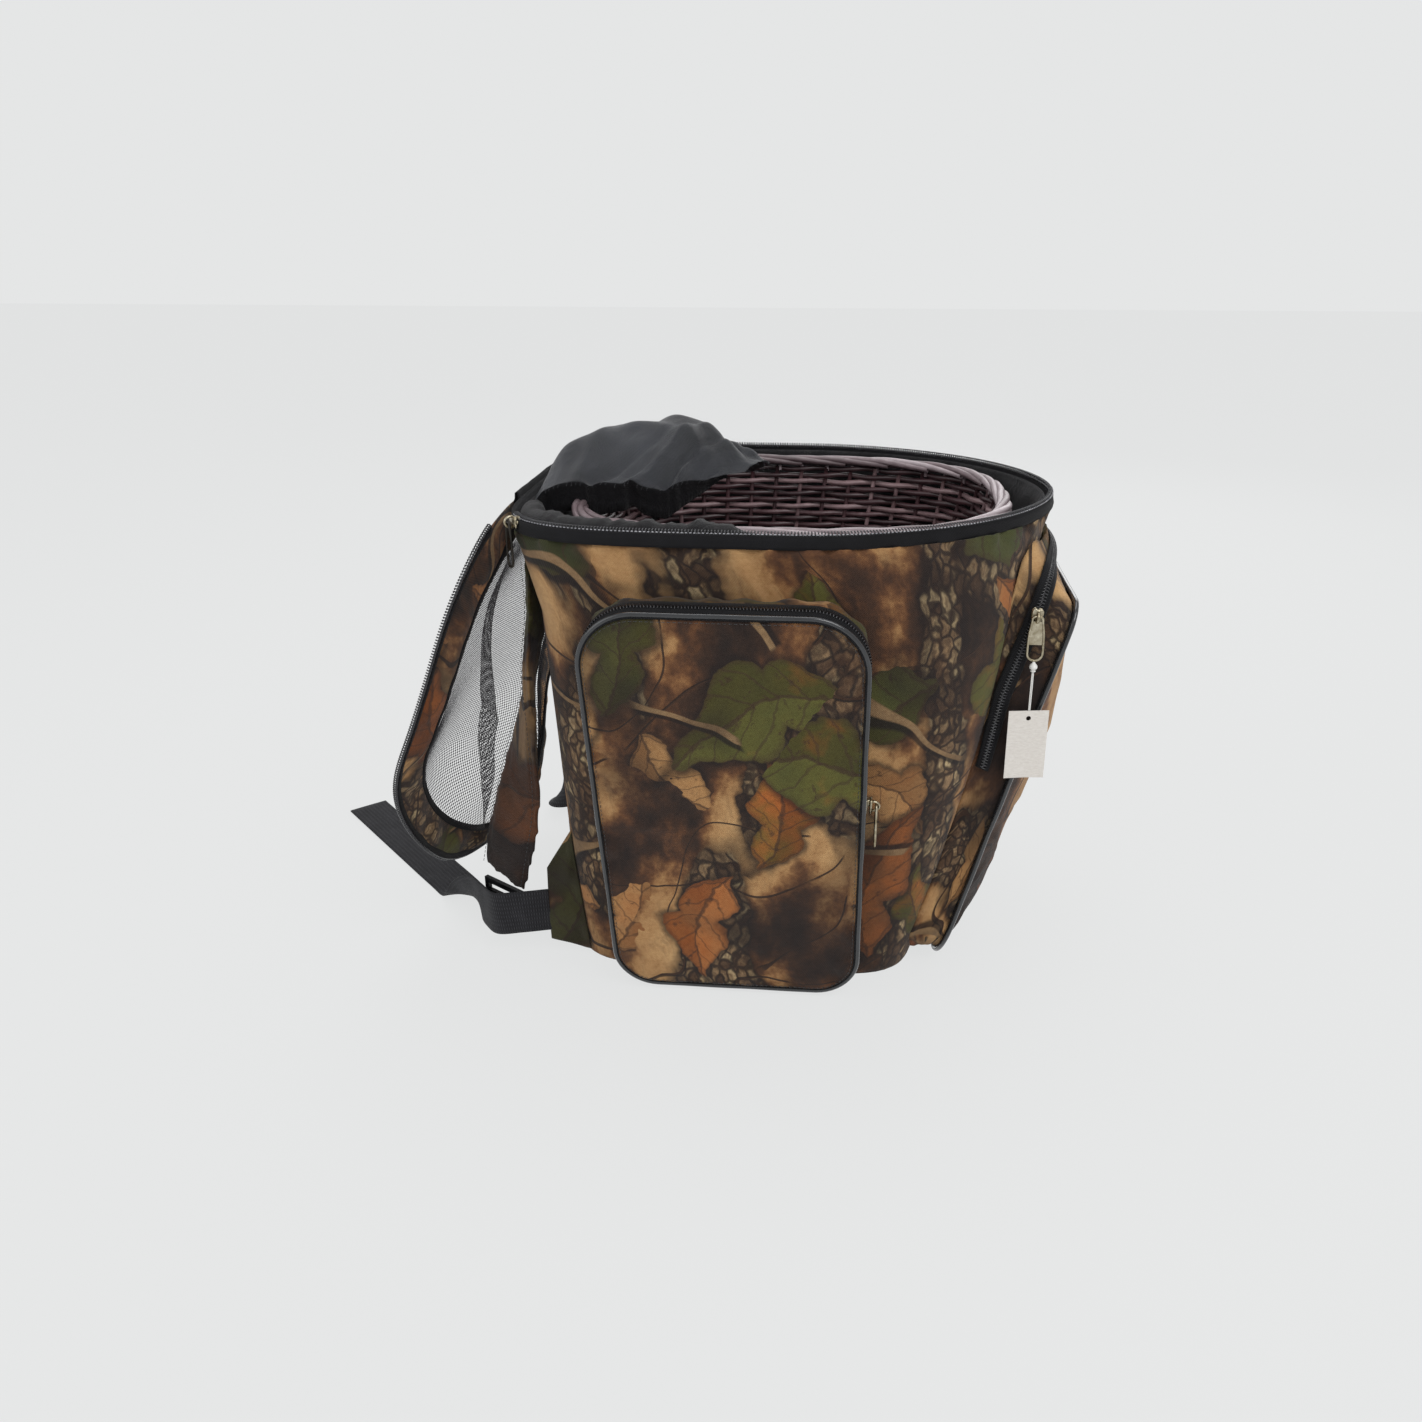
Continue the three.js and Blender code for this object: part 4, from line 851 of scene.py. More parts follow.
def tag_lock():
    """The clear white end of the string: a bullet with a waist and a small ring."""
    top = top_of("tag_lock")[2]
    turns = np.linspace(0, 2 * math.pi, 20, endpoint=False)
    b = Builder()
    b.grid([[(PLUMB[0] + r * math.cos(a), PLUMB[1] + r * math.sin(a), top + h) for a in turns]
            for r, h in LOCK_OUTLINE], closed=True)
    piece = b.piece("tag_lock_bullet", "front_zip_pull", "white_plastic", WHITE)
    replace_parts(piece, "tag_lock")
    return piece


def hang_tag():
    """A blank paper tag with a punched hole, slightly curled."""
    angle = math.radians(TAG["turn"])
    across = np.array([-math.sin(angle), math.cos(angle), 0.0])
    face = np.array([-math.cos(angle), -math.sin(angle), 0.0])
    hole, inset = TAG["hole"], TAG["hole_inset"]
    w, h = TAG["width"] / 2, TAG["height"]
    count = 32
    rows = []
    for share in (0.0, 0.35, 0.7, 1.0):
        ring = []
        for a in 2 * math.pi * np.arange(count) / count:
            dx, dz = math.cos(a), math.sin(a)
            reach = min(w / max(abs(dx), 1e-9), (inset if dz > 0 else h - inset) / max(abs(dz), 1e-9))
            ring.append((mix(hole, reach, share) * dx, mix(hole, reach, share) * dz - inset))
        rows.append(ring)
    for corner in ((-w, 0), (w, 0), (w, -h), (-w, -h)):
        nearest = min(range(count), key=lambda i: math.dist(rows[-1][i], corner))
        rows[-1][nearest] = corner
    places = np.array(rows)
    x, z = places[..., :1], places[..., 1:]
    curl = TAG["curl"] * (x / w) ** 2 * np.clip(-z / h, 0, 1)
    top = np.array([*PLUMB[:2], top_of("hang_tag")[2]])
    b = Builder()
    b.grid(top + x * across + z * UP + curl * face, closed=True)
    piece = b.piece("hang_tag_card", "front_zip_pull", "tag_card", CARD, smooth=False)
    thicken(piece, TAG["thickness"], 0.0)
    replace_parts(piece, "hang_tag")
    return piece


tag_string(tag_lock(), hang_tag())


# The bag's own cloth: wall, floor, lining, tape round the mouth.
RIM_ROUND = 1180.0
CLOTH = {"wall": 1.4, "lining": 0.5, "flap": 0.35, "net": 0.22, "pocket_face": 1.2, "pocket_side": 1.0}
FLOOR = {"edge": 2.5, "hollow": 0.5, "top": 4.8}
LINING_GAP = 0.6
LINING_FLOOR = 7.0


def wall_wrinkle(p, angle, z):
    """How far the cloth stands off its plain oval: sag, gathers under the tape and creases."""
    gathers = math.sin(angle * 41 + 2.2 * rough(p, 60, 3)) * 1.6 + math.sin(angle * 67 + 1.7) * 0.8
    gathers *= ramp(z, TAPE_FOOT - 62, TAPE_FOOT - 10)
    pull = ramp(z, TAPE_FOOT - 3, TAPE_FOOT - 14)
    slack = 2.4 * rough((p[0], p[1], z * 0.6), 58, 1.0) + 1.2 * rough((p[0], p[1], z), 24, 2.0)
    crease = 1.0 - abs(rough((p[0] + 0.6 * z, p[1] + 0.4 * z, z), 46, 5.0)) * 6
    slack += 1.8 * max(crease, 0.0)
    low = ramp(z, 2, 26)
    return (slack * 0.8 + gathers) * low * (1 - pull) - 0.8 * (1 - low)


def outward(p, middle):
    """The level direction from the bag's middle line to a point."""
    return unit((p[0], p[1] - middle, 0))


def bag_wall():
    levels = np.concatenate([[0.0, 0.6, 2.0, 5.0], np.linspace(10, WALL_TOP, 74), [WALL_TOP + 2]])
    count = 230
    rows, cloth = [], []
    for z in levels:
        z_in = min(z, WALL_TOP)
        tuck = -2.2 * ramp(z, 3, 0) - (2.0 if z > WALL_TOP else 0.0)
        middle = oval(z_in)["centre"]
        rows.append([p + outward(p, middle) * wall_wrinkle(p, math.atan2(p[1] - middle, p[0]), z_in)
                     for p in ring_at(z_in, tuck, count)])
        cloth.append([(RIM_ROUND * j / count, z, 0) for j in range(count)])
    b = Builder()
    b.grid(rows, cloth, closed=True)
    piece = b.piece("bag_wall_cloth", "bag", "camo_cloth", CAMO)
    thicken(piece, CLOTH["wall"])
    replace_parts(piece, "bag_body")


def disc(z, inset, shares, height, count=120):
    """Rings that shrink from the bag's outline at z towards its middle; height gives each share's own."""
    ring = ring_at(z, -inset, count)
    middle = np.array([0, oval(z)["centre"], 0])
    rows = []
    for share in shares:
        flat = middle + (ring - middle) * share
        flat[:, 2] = height(share)
        rows.append(flat)
    return rows


def bag_floor():
    """The base: a stiff board under cloth, drawn slightly hollow, with a bound edge."""
    def under(share):
        return 0.05 + (FLOOR["hollow"] * ramp(share, 1.0, 0.9) if share < 0.99 else 0.0)
    rows = disc(0, FLOOR["edge"], (0.02, 0.3, 0.6, 0.85, 0.95, 0.985, 1.0), under)
    inside = disc(0, FLOOR["edge"] + 1.0, (1.0, 0.6, 0.02), lambda share: FLOOR["top"])
    b = Builder()
    b.grid(rows, closed=True, flip=True)
    b.grid([rows[-1], *inside], closed=True, flip=True)
    piece = b.piece("bag_floor_board", "bag", "black_webbing", TAPE_CLOTH)
    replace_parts(piece, "base_panel")


def lining_fold(p, direction, z):
    """How far the lining billows into the bag, most of all just under the mouth."""
    gathers = 0.5 + 0.5 * math.sin(18 * math.atan2(direction[1], direction[0]) + 3 * rough(p, 60, 9))
    fold = 2.2 + 2.6 * rough(p, 42, 7) + 1.8 * rough(p, 19, 8) + 2.6 * ramp(z, 300, 340) * gathers
    return max(fold, 0.0) * ramp(z, 8, 60) * ramp(z, LINING_TOP, LINING_TOP - 12)


def lining():
    """Loose dark lining: its top edge is sewn under the tape and it billows below."""
    count = 200
    rows, cloth = [], []
    for z in np.concatenate([np.linspace(LINING_FLOOR, 300, 40), np.linspace(306, LINING_TOP, 22)]):
        middle = oval(z)["centre"]
        row = []
        for p in ring_at(z, LINING_OUT - LINING_GAP, count):
            direction = outward(p, middle)
            row.append(p - direction * lining_fold(p, direction, z))
        rows.append(row)
        cloth.append([(RIM_ROUND * j / count, z, 30) for j in range(count)])
    b = Builder()
    b.grid(rows, cloth, closed=True, flip=True)
    shares = (1.0, 0.8, 0.55, 0.3, 0.02)
    floor = disc(LINING_FLOOR, LINING_GAP - LINING_OUT, shares, lambda share: LINING_FLOOR, count)
    b.grid(floor, [[(p[0], p[1], 60) for p in ring] for ring in floor], closed=True)
    piece = b.piece("bag_lining_cloth", "bag", "grey_nylon", LINING)
    thicken(piece, CLOTH["lining"], 1.0)
    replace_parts(piece, "bag_lining")


# The roll's section: how far in from the mouth each line of it lies, and how high.
LINING_ROLL = [
    (-0.4, -1.5), (1.0, 2.5), (4.0, 6.0), (8.5, 8.4), (13.5, 8.8), (17.0, 6.0), (18.5, 0.5), (17.0, -8.0),
]


def lining_roll():
    """A soft roll of slack lining along the near back of the mouth."""
    top = [p for p in ring_at(LINING_TOP, LINING_OUT - LINING_GAP, 500) if p[0] < -66 and p[1] > -45]
    full = [ramp(p[1], -44, 20) * ramp(p[0], -68, -112)
            * (0.92 + 0.4 * rough(p, 13, 6) + 0.2 * rough(p, 5, 3)) for p in top]
    b = Builder()
    b.grid([[p - outward(p, -MOUTH_SHIFT) * (inward * min(f, 1.05)) + UP * (rise * f)
             for p, f in zip(top, full)] for inward, rise in LINING_ROLL])
    piece = b.piece("lining_roll_cloth", "bag", "grey_nylon", LINING)
    thicken(piece, CLOTH["lining"], 0.0)
    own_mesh(piece)


def rim_line(z, grow, step):
    """Points round the whole mouth, with the direction out of the bag at each."""
    line = evenly(ring_at(z, grow, 720), step, closed=True)
    return line, ring_out(line)


# The tape's section: how far out each line of it lies, and how high.
RIBBON_SECTION = [
    (-1.6, TAPE_FOOT - 1), (0.9, TAPE_FOOT - 0.6), (1.3, TAPE_FOOT + 1.5), (0.7, TAPE_FOOT + 5),
    (0.5, TAPE_FOOT + 9), (-0.2, TAPE_TOP + 0.4), (-1.2, TAPE_TOP + 0.7), (-1.9, TAPE_TOP + 0.2),
    (-2.6, TAPE_TOP - 6), (-2.9, TAPE_FOOT + 2),
]


def mouth_ribbon():
    """The black tape of the bag's half of the zip."""
    step = 4.0
    rows, cloth = [], []
    for i, (p, d) in enumerate(zip(*rim_line(HEIGHT, 0.0, step))):
        sway = 0.5 * rough(p, 30, 4)
        rows.append([p + d * (out + sway * ramp(h, TAPE_TOP, TAPE_FOOT)) + UP * (h - HEIGHT)
                     for out, h in RIBBON_SECTION])
        cloth.append([(step * i, 4 * k, 0) for k in range(len(RIBBON_SECTION))])
    b = Builder()
    b.grid(rows, cloth, closed=True, wrapped=True)
    tape = b.piece("mouth_zip_tape", "bag", "black_webbing", TAPE_CLOTH)
    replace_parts(tape, "mouth_tape")


def stitches(name, body, line, out, length, gap, radius, finish, slot="grey_piping"):
    """A row of short thread stitches lying on a surface: line holds its points and out the way it faces."""
    b = Builder()
    reach = lengths(line)
    for i in range(int(reach[-1] / (length + gap))):
        places = (i + 0.15) * (length + gap) + np.array([0.0, 0.5, 1.0]) * length
        points = resampled(line, places)
        face = unit([np.interp(places[1], reach, out[:, k]) for k in range(3)])
        points[1] += face * 0.22
        b.tube(points, radius, 5, up=face)
    return b.piece(name, body, slot, finish)


TOOTH = {"pitch": 2.2, "radius": 0.55}


def teeth_row(b, line, out, up, reach, height):
    """Coil teeth across a tape's edge: small rounded hoops lying side by side."""
    line = evenly(line, TOOTH["pitch"])
    n = len(line)
    for i, centre in enumerate(line):
        along = unit(line[min(i + 1, n - 1)] - line[max(i - 1, 0)])
        face = unit(out[min(int(i / (n - 1) * (len(out) - 1)), len(out) - 1)])
        hoop = [(-1, -1), (0.4, -1), (1, 0), (0.4, 1), (-1, 1)]
        b.tube([centre + face * reach * f + up * height * h for f, h in hoop], TOOTH["radius"], 5, up=along)


HINGE_TURN = 34.0


def clear_of_hinge(degrees):
    """The order, from one side of the hinge round to the other, of the angles that carry zip teeth."""
    turn = (degrees - 90) % 360
    keep = (turn > HINGE_TURN) & (turn < 360 - HINGE_TURN)
    return np.flatnonzero(keep)[np.argsort(turn[keep])]


def mouth_teeth():
    """The coil that stands along the top of the tape, all but over the hinge, and a row of short pale
    stitches along it: a painted highlight for the glints of light on the coil's loops.
    """
    line, out = rim_line(HEIGHT - TEETH, -1.5, 2.6)
    order = clear_of_hinge(np.degrees(np.arctan2(line[:, 1] + MOUTH_SHIFT, line[:, 0])))
    line, out = line[order], out[order]
    b = Builder()
    teeth_row(b, line, out, UP, 1.7, 1.5)
    b.tube(evenly(line, 5.0) - UP * 1.1, 1.15, 6)
    coil = b.piece("mouth_zip_coil", "bag", "black_plastic", COIL)
    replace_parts(coil, "mouth_zip_teeth")
    # Painted highlight: short pale stitches along the coil's outer edge stand in for the glints of light on
    # its loops.
    outer = line + out * 1.9 + UP * 0.3
    stitches("mouth_zip_thread", "bag", outer, out + 0.4 * UP, 1.1, 1.7, 0.4, COIL_PAINTED_GLINT)


bag_wall()
bag_floor()
lining()
lining_roll()
mouth_ribbon()
mouth_teeth()


# The lid, drawn open: x runs across it and t runs down from its hinge line.
HINGE_Y = MOUTH_BACK - MOUTH_SHIFT + 2.2
HINGE_Z = HEIGHT + 0.4 + TEETH
LID_TILT = math.radians(23)
LID_LENGTH = 398.0
LID_EDGE = -1.5 - TEETH - 2 * SEAM
LID_BAND, LID_HINGE_BAND, LID_BINDING = 33.0, 14.0, 5.0
HINGE_HALF = 74.0
LID_DOWN = np.array([0.0, math.sin(LID_TILT), -math.cos(LID_TILT)])
LID_BACK = np.array([0.0, math.cos(LID_TILT), math.sin(LID_TILT)])
LID_SWAY, LID_TIP_SWAY, LID_BELLY, LID_TWIST = 42.0, 62.0, 12.0, 7.0
LID_SHORTER, LID_DOME = 0.15, 13.0


def lid_at(x, t, off=0.0):
    """Where a point of the flat lid hangs: the far side and the tip sway towards the bag."""
    x, t, off = np.broadcast_arrays(np.asarray(x, float), np.asarray(t, float), np.asarray(off, float))
    share = t / LID_LENGTH
    down = t * (1 - LID_SHORTER * share)
    sway = LID_SWAY * ramp(x, -110, 175) * ramp(t, 15, 230) + LID_TIP_SWAY * ramp(t, 200, LID_LENGTH) ** 1.5
    sway -= LID_BELLY * ramp(t, 20, 120) * ramp(x, -174, -60)
    sway += 2.0 * np.sin(t / 52.0 + x / 90.0) * ramp(t, 30, 120)
    place = np.zeros((*x.shape, 3))
    place[..., 0] = x + LID_TWIST * ramp(t, 0, 300)
    place[..., 1] = HINGE_Y
    place[..., 2] = HINGE_Z
    return place + down[..., None] * LID_DOWN + (off - sway)[..., None] * LID_BACK


def dished(x, t):
    """How fully the lid is dished at a place: more on its far side, not at all at its hinge."""
    return ramp(t, 0, 40) * (1 + 0.6 * ramp(x, 0, 150))


def lid_angles(count):
    """The angles of points evenly spread round the lid's edge, and its length."""
    fine = np.linspace(0, 2 * math.pi, 1441)
    o = oval(HEIGHT, LID_EDGE)
    reach = lengths(np.array([oval_point(o, a, 0) for a in fine]))
    return np.interp(np.linspace(0, reach[-1], count + 1)[:-1], reach, fine), reach[-1]


def lid_loop(inset, hinge_inset, angles):
    """x and t round the lid at a distance inside its edge."""
    o = dict(oval(HEIGHT, LID_EDGE))
    o["half"] -= inset
    o["front"] -= inset
    o["back"] -= hinge_inset
    points = np.array([oval_point(o, a, 0) for a in angles])
    return np.stack([points[:, 0], HINGE_Y - points[:, 1]], 1)


def flattens(piece):
    """Gives a soft piece of the hanging lid its own copy of its mesh."""
    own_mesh(piece)


def lid_strip(name, insets, slot, finish, thickness, lift, wave, dome, node):
    """A closed strip round the lid; insets holds pairs of (inside the edge, inside the hinge edge), and dome
    the two heights between which the strip rises towards the middle of the dished lid."""
    count = 300
    angles, length = lid_angles(count)
    rows, cloth = [], []
    for k, (inset, hinge_inset) in enumerate(insets):
        loop = lid_loop(inset, hinge_inset, angles)
        share = k / (len(insets) - 1)
        off = []
        for j, (x, t) in enumerate(loop):
            crease = 0.9 * rough((x, t, 5.0 * k), 26, 6)
            crease += 0.7 * math.sin(j * 0.55 + 2 * rough((x, t, 0), 40, 2))
            swell = wave * math.sin(math.pi * share) * (1.0 + crease)
            off.append(lift - swell - mix(dome[0], dome[1], share) * dished(x, t))
        rows.append(lid_at(loop[:, 0], loop[:, 1], np.array(off)))
        cloth.append([(length * j / count, inset + 900, 0) for j in range(count)])
    b = Builder()
    b.grid(rows, cloth, closed=True)
    piece = b.piece(name, "lid", slot, finish)
    thicken(piece, thickness, 0.0)
    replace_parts(piece, node)
    flattens(piece)


def between(outer, inner, steps):
    return [(mix(outer[0], inner[0], s), mix(outer[1], inner[1], s)) for s in np.linspace(0, 1, steps)]


NET_PITCH, NET_THREAD = 2.7, 0.2

# The net's fold: how deep it is, and where its line runs across the lid at distances down it.
NET_FOLD = 22.0
NET_FOLD_T = [0, 60, 145, 245, 300, 345]
NET_FOLD_X = [-92, -78, -45, 5, -10, -35]


def inside_of(edge, x, t):
    """Which of the places x, t lie inside a closed outline."""
    inside = np.zeros(x.shape, bool)
    for (xa, ta), (xb, tb) in zip(edge, np.roll(edge, -1, 0)):
        crosses = (ta > t) != (tb > t)
        inside ^= crosses & (x < xa + (t - ta) / np.where(tb == ta, 1e-9, tb - ta) * (xb - xa))
    return inside


def lattice(edge):
    """Points and faces of a flat net within an outline: square cells, each with an eight-sided opening."""
    low, high = edge.min(0), edge.max(0)
    nx, nt = (np.ceil((high - low) / NET_PITCH)).astype(int) + 1
    xs, ts = low[0] + NET_PITCH * np.arange(nx), low[1] + NET_PITCH * np.arange(nt)
    cx, ct = np.meshgrid(xs[:-1] + NET_PITCH / 2, ts[:-1] + NET_PITCH / 2, indexing="ij")
    used = {}
    flat, faces = [], []

    def corner(i, j):
        if (i, j) not in used:
            used[i, j] = len(flat)
            flat.append((xs[i], ts[j]))
        return used[i, j]

    reach = (NET_PITCH / 2 - NET_THREAD) * 1.16
    opening = [(reach * math.cos(a), reach * math.sin(a)) for a in np.radians(22.5 + 45 * np.arange(8))]
    for i, j in np.argwhere(inside_of(edge, cx, ct)):
        corners = [corner(i + 1, j + 1), corner(i, j + 1), corner(i, j), corner(i + 1, j)]
        start = len(flat)
        flat.extend((cx[i, j] + dx, ct[i, j] + dt) for dx, dt in opening)
        for k in range(4):
            a, b = corners[k], corners[(k + 1) % 4]
            faces.append([a, b, start + (2 * k + 2) % 8, start + 2 * k + 1])
            faces.append([a, start + 2 * k + 1, start + 2 * k])
    return np.array(flat), faces


def lid_net():
    """Knotless net: a fine lattice of threads with rounded openings, and one long slack fold down it."""
    angles, _ = lid_angles(300)
    flat, faces = lattice(lid_loop(LID_BAND + 3.2, LID_HINGE_BAND + 3.2, angles))
    x, t = flat[:, 0], flat[:, 1]
    line = np.interp(t, NET_FOLD_T, NET_FOLD_X)
    fold = 1 - 1.2 * ramp(x, line - 11, line + 13) + 0.2 * ramp(x, line + 20, 140)
    fold *= NET_FOLD * ramp(x, -150, line - 11) * ramp(t, 0, 250) * ramp(t, 385, 285)
    ripple = 0.8 * np.sin(x / 23 + t / 41) * ramp(t, 20, 80) * ramp(t, 372, 300)
    rise = LID_DOME * dished(x, t)
    b = Builder()
    b.add(lid_at(x, t, ripple - fold - rise), faces, np.stack([x, t, 0 * x], 1))
    piece = b.piece("lid_net_threads", "lid", "black_net", NET, smooth=False)
    thicken(piece, CLOTH["net"], 0.0)
    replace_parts(piece, "lid_net")
    flattens(piece)


def lid_line(inset, angles, off):
    """A line round the hanging lid at a distance inside its edge."""
    loop = lid_loop(inset, inset, angles)
    return lid_at(loop[:, 0], loop[:, 1], off)


def lid_zip():
    """The lid's half of the zip: tape along the edge, its coil and its thread."""
    angles, _ = lid_angles(420)
    angles = angles[clear_of_hinge(np.degrees(angles))]
    insets = (-2.2, 0.5, 3.0, 6.0, 9.0, 10.5)
    b = Builder()
    b.grid([lid_line(inset, angles, -1.7 - 0.3 * math.sin(k)) for k, inset in enumerate(insets)],
           [[(2.7 * j, 4 * k, 0) for j in range(len(angles))] for k in range(len(insets))])
    tape = b.piece("lid_zip_tape", "lid", "black_webbing", TAPE_CLOTH)
    thicken(tape, 0.8, 0.0)
    line = lid_line(-2.6, angles, 0.4)
    b = Builder()
    teeth_row(b, line, line - lid_line(3.0, angles, 0.4), LID_BACK, 1.6, 1.4)
    b.tube(line[::2] - LID_BACK, 1.1, 6)
    coil = b.piece("lid_zip_coil", "lid", "black_plastic", COIL)
    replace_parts(coil, "lid_zip_teeth")
    faces = np.tile(-LID_BACK, (len(angles), 1))
    seam = lid_line(8.6, angles, -2.3)
    thread = stitches("lid_tape_thread", "lid", seam, faces, 2.4, 1.5, 0.28, PIPING)
    for piece in (tape, coil, thread):
        flattens(piece)


def hinge_cloth():
    """The strip that joins bag and lid: it bends where the lid turns."""
    back = MOUTH_BACK - MOUTH_SHIFT
    stations = [(back + out, HEIGHT + up) for out, up in (
        (0.3, -26), (0.8, -14), (1.1, -6), (1.3, -2), (1.6, 0.6), (2.3, 1.8), (3.5, 1.0))]
    for t in (6, 10, 15):
        p = lid_at(0.0, t)
        stations.append((p[1] - 0.8, p[2]))
    xs = np.linspace(-HINGE_HALF, HINGE_HALF, 70)
    b = Builder()
    b.grid([[(x, y + 0.35 * rough((x, y, z), 12, 3), z + 0.4 * rough((x, 9 * k, 0), 16, 5)) for x in xs]
            for k, (y, z) in enumerate(stations)],
           [[(x, 5 * k, 0) for x in xs] for k in range(len(stations))])
    piece = mesh_object("hinge_cloth_strip", b.points, b.faces, TAPE_CLOTH, b.cloth)
    thicken(piece, 0.9, 0.0)
    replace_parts(piece, "hinge_tape")
    _, y, z = lid_at(0.0, 8.0) * MM
    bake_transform(piece)


ring = between((1.0, 1.0), (LID_BAND + 1, LID_HINGE_BAND + 1), 9)
binding = between((LID_BAND - 1.5, LID_HINGE_BAND - 1.5),
                  (LID_BAND + LID_BINDING, LID_HINGE_BAND + LID_BINDING), 5)
lid_strip("lid_ring_cloth", ring, "camo_cloth", CAMO, 1.0, 0.0, 2.0, (0.0, LID_DOME), "lid_band")
lid_strip("lid_ring_binding", binding, "black_webbing", TAPE_CLOTH, 1.6, -0.8, 0.5,
          (LID_DOME - 1.0, LID_DOME), "lid_binding")
lid_net()
lid_zip()
hinge_cloth()


# The loose flap of lining that stands over the mouth.
FLAP = {"half_width": 68.0, "length": 170.0, "hump": 40.0, "skew": 0.12, "narrow": 0.45, "point": 0.14,
        "skirt": 24.0, "flat_width": 146.0, "flat_length": 190.0, "closed_rise": 1.6}
FLAP_BACK = MOUTH_BACK - MOUTH_SHIFT + LINING_IN - 2.9
FLAP_FOOT = HEIGHT + FIT - LIP

# How high the flap stands, as shares of its hump. Rows run forwards from its seam, columns to the right.
FLAP_SHARES = np.array([
    [0.2, 0.4, 0.42, 0.25, 0.05], [0.38, 0.8, 0.9, 0.6, 0.18], [0.3, 0.93, 1.0, 0.8, 0.25],
    [0.22, 0.95, 1.04, 0.85, 0.3], [0.2, 1.0, 1.08, 0.85, 0.3], [0.2, 0.97, 1.02, 0.75, 0.25],
    [0.24, 0.8, 0.8, 0.5, 0.15], [0.34, 0.5, 0.46, 0.25, 0.05],
])

# The flap's creases: where each starts and ends (forwards, across), its width and how far it stands up.
FLAP_FOLD_SHARES = [
    ((0.86, -0.9), (0.3, 0.0), 0.07, 0.16), ((0.86, -0.9), (0.45, -0.35), 0.05, -0.15),
    ((0.97, -0.55), (0.35, 0.3), 0.06, 0.14), ((0.97, -0.55), (0.6, 0.45), 0.05, -0.13),
    ((0.1, -0.6), (0.55, -0.1), 0.08, 0.12), ((0.02, -0.2), (0.6, 0.35), 0.08, -0.1),
    ((0.75, -1.0), (0.5, 0.6), 0.09, 0.1), ((0.3, -0.95), (0.62, -0.35), 0.035, -0.08),
    ((0.5, -0.98), (0.78, -0.2), 0.03, 0.07), ((0.66, -0.95), (0.9, -0.1), 0.03, -0.08),
    ((0.22, -0.9), (0.34, 0.1), 0.04, 0.07), ((0.95, -0.2), (0.7, 0.1), 0.03, 0.07),
]


def smooth_between(values, at):
    """The value of a smooth curve through evenly spaced values."""
    last = len(values) - 1
    k = min(int(at), last - 1)
    a, b, c, d = values[max(k - 1, 0)], values[k], values[k + 1], values[min(k + 2, last)]
    return catmull(a, b, c, d, at - k)


def flap_height(share, across):
    """The height share at a place, smooth between the table's rows and columns."""
    rows, columns = FLAP_SHARES.shape
    line = [smooth_between(row, (across + 1) / 2 * (columns - 1)) for row in FLAP_SHARES]
    return smooth_between(line, share * (rows - 1))


def crease(x, y, start, end, width):
    """1 on the line from start to end, falling off to both sides."""
    a, b = np.array(start, float), np.array(end, float)
    d = b - a
    t = np.clip(np.dot(np.array([x, y]) - a, d) / np.dot(d, d), 0, 1)
    off = math.hypot(x - a[0] - t * d[0], y - a[1] - t * d[1])
    return math.exp(-((off / width) ** 2)) * (1 - 0.6 * t)


def flap_point(share, across):
    """Where a point of the flap hangs: share runs forwards from its seam, across from -1 to 1."""
    height = flap_height(share, across) * ramp(share, -0.02, 0.06)
    for (s0, a0), (s1, a1), width, size in FLAP_FOLD_SHARES:
        fold = crease(share, across / 2, (s0, a0 / 2), (s1, a1 / 2), width)
        height += 1.5 * size * fold * ramp(share, 0.0, 0.12)
    along = 172 * share
    torn = 2.2 * rough((40 * across, 60, 0), 7, 2) * ramp(share, 0.9, 1.0)
    edge = 1.6 * rough((along, 20, 0), 6, 4) * ramp(abs(across), 0.93, 1.0)
    spread = across * (1 - FLAP["narrow"] * share * share) + FLAP["skew"] * share
    x = FLAP["half_width"] * spread + (edge if across > 0 else -edge)
    curl = 3.5 * ramp(-across, 0.82, 1.0) * math.sin(9 * share + 1)
    reach = share * FLAP["length"] * (1 - FLAP["point"] * across * across)
    y = FLAP_BACK - reach - torn + 1.2 * rough((x, along, 0), 15, 7)
    z = FLAP_FOOT + FLAP["hump"] * height - curl + 0.9 * rough((x, y, 0), 22, 8)
    return x, y, max(z, FLAP_FOOT - 1.0 + 2.5 * ramp(share, 0.6, 0.9))


def flap_fray(rows):
    """Loose threads along the flap's torn left and front edges."""
    b = Builder()
    for line, out in ((rows[:, 0], rows[:, 0] - rows[:, 1]), (rows[-1], rows[-1] - rows[-2])):
        for k in range(2, len(line) - 2, 2):
            if rough(line[k], 3.0, 11) < -0.05:
                continue
            way = unit(unit(out[k]) + 0.6 * np.array([rough(line[k], 2.0, seed) for seed in (1, 2, 3)]))
            reach = 2.0 + 3.5 * abs(rough(line[k], 2.6, 5))
            path = [line[k] + way * reach * t - UP * 0.8 * t * t for t in (-0.1, 0.3, 0.7, 1.0)]
            b.tube(path, 0.14, 4)
    return b.piece("lining_flap_fray", "bag", "grey_nylon", NYLON)


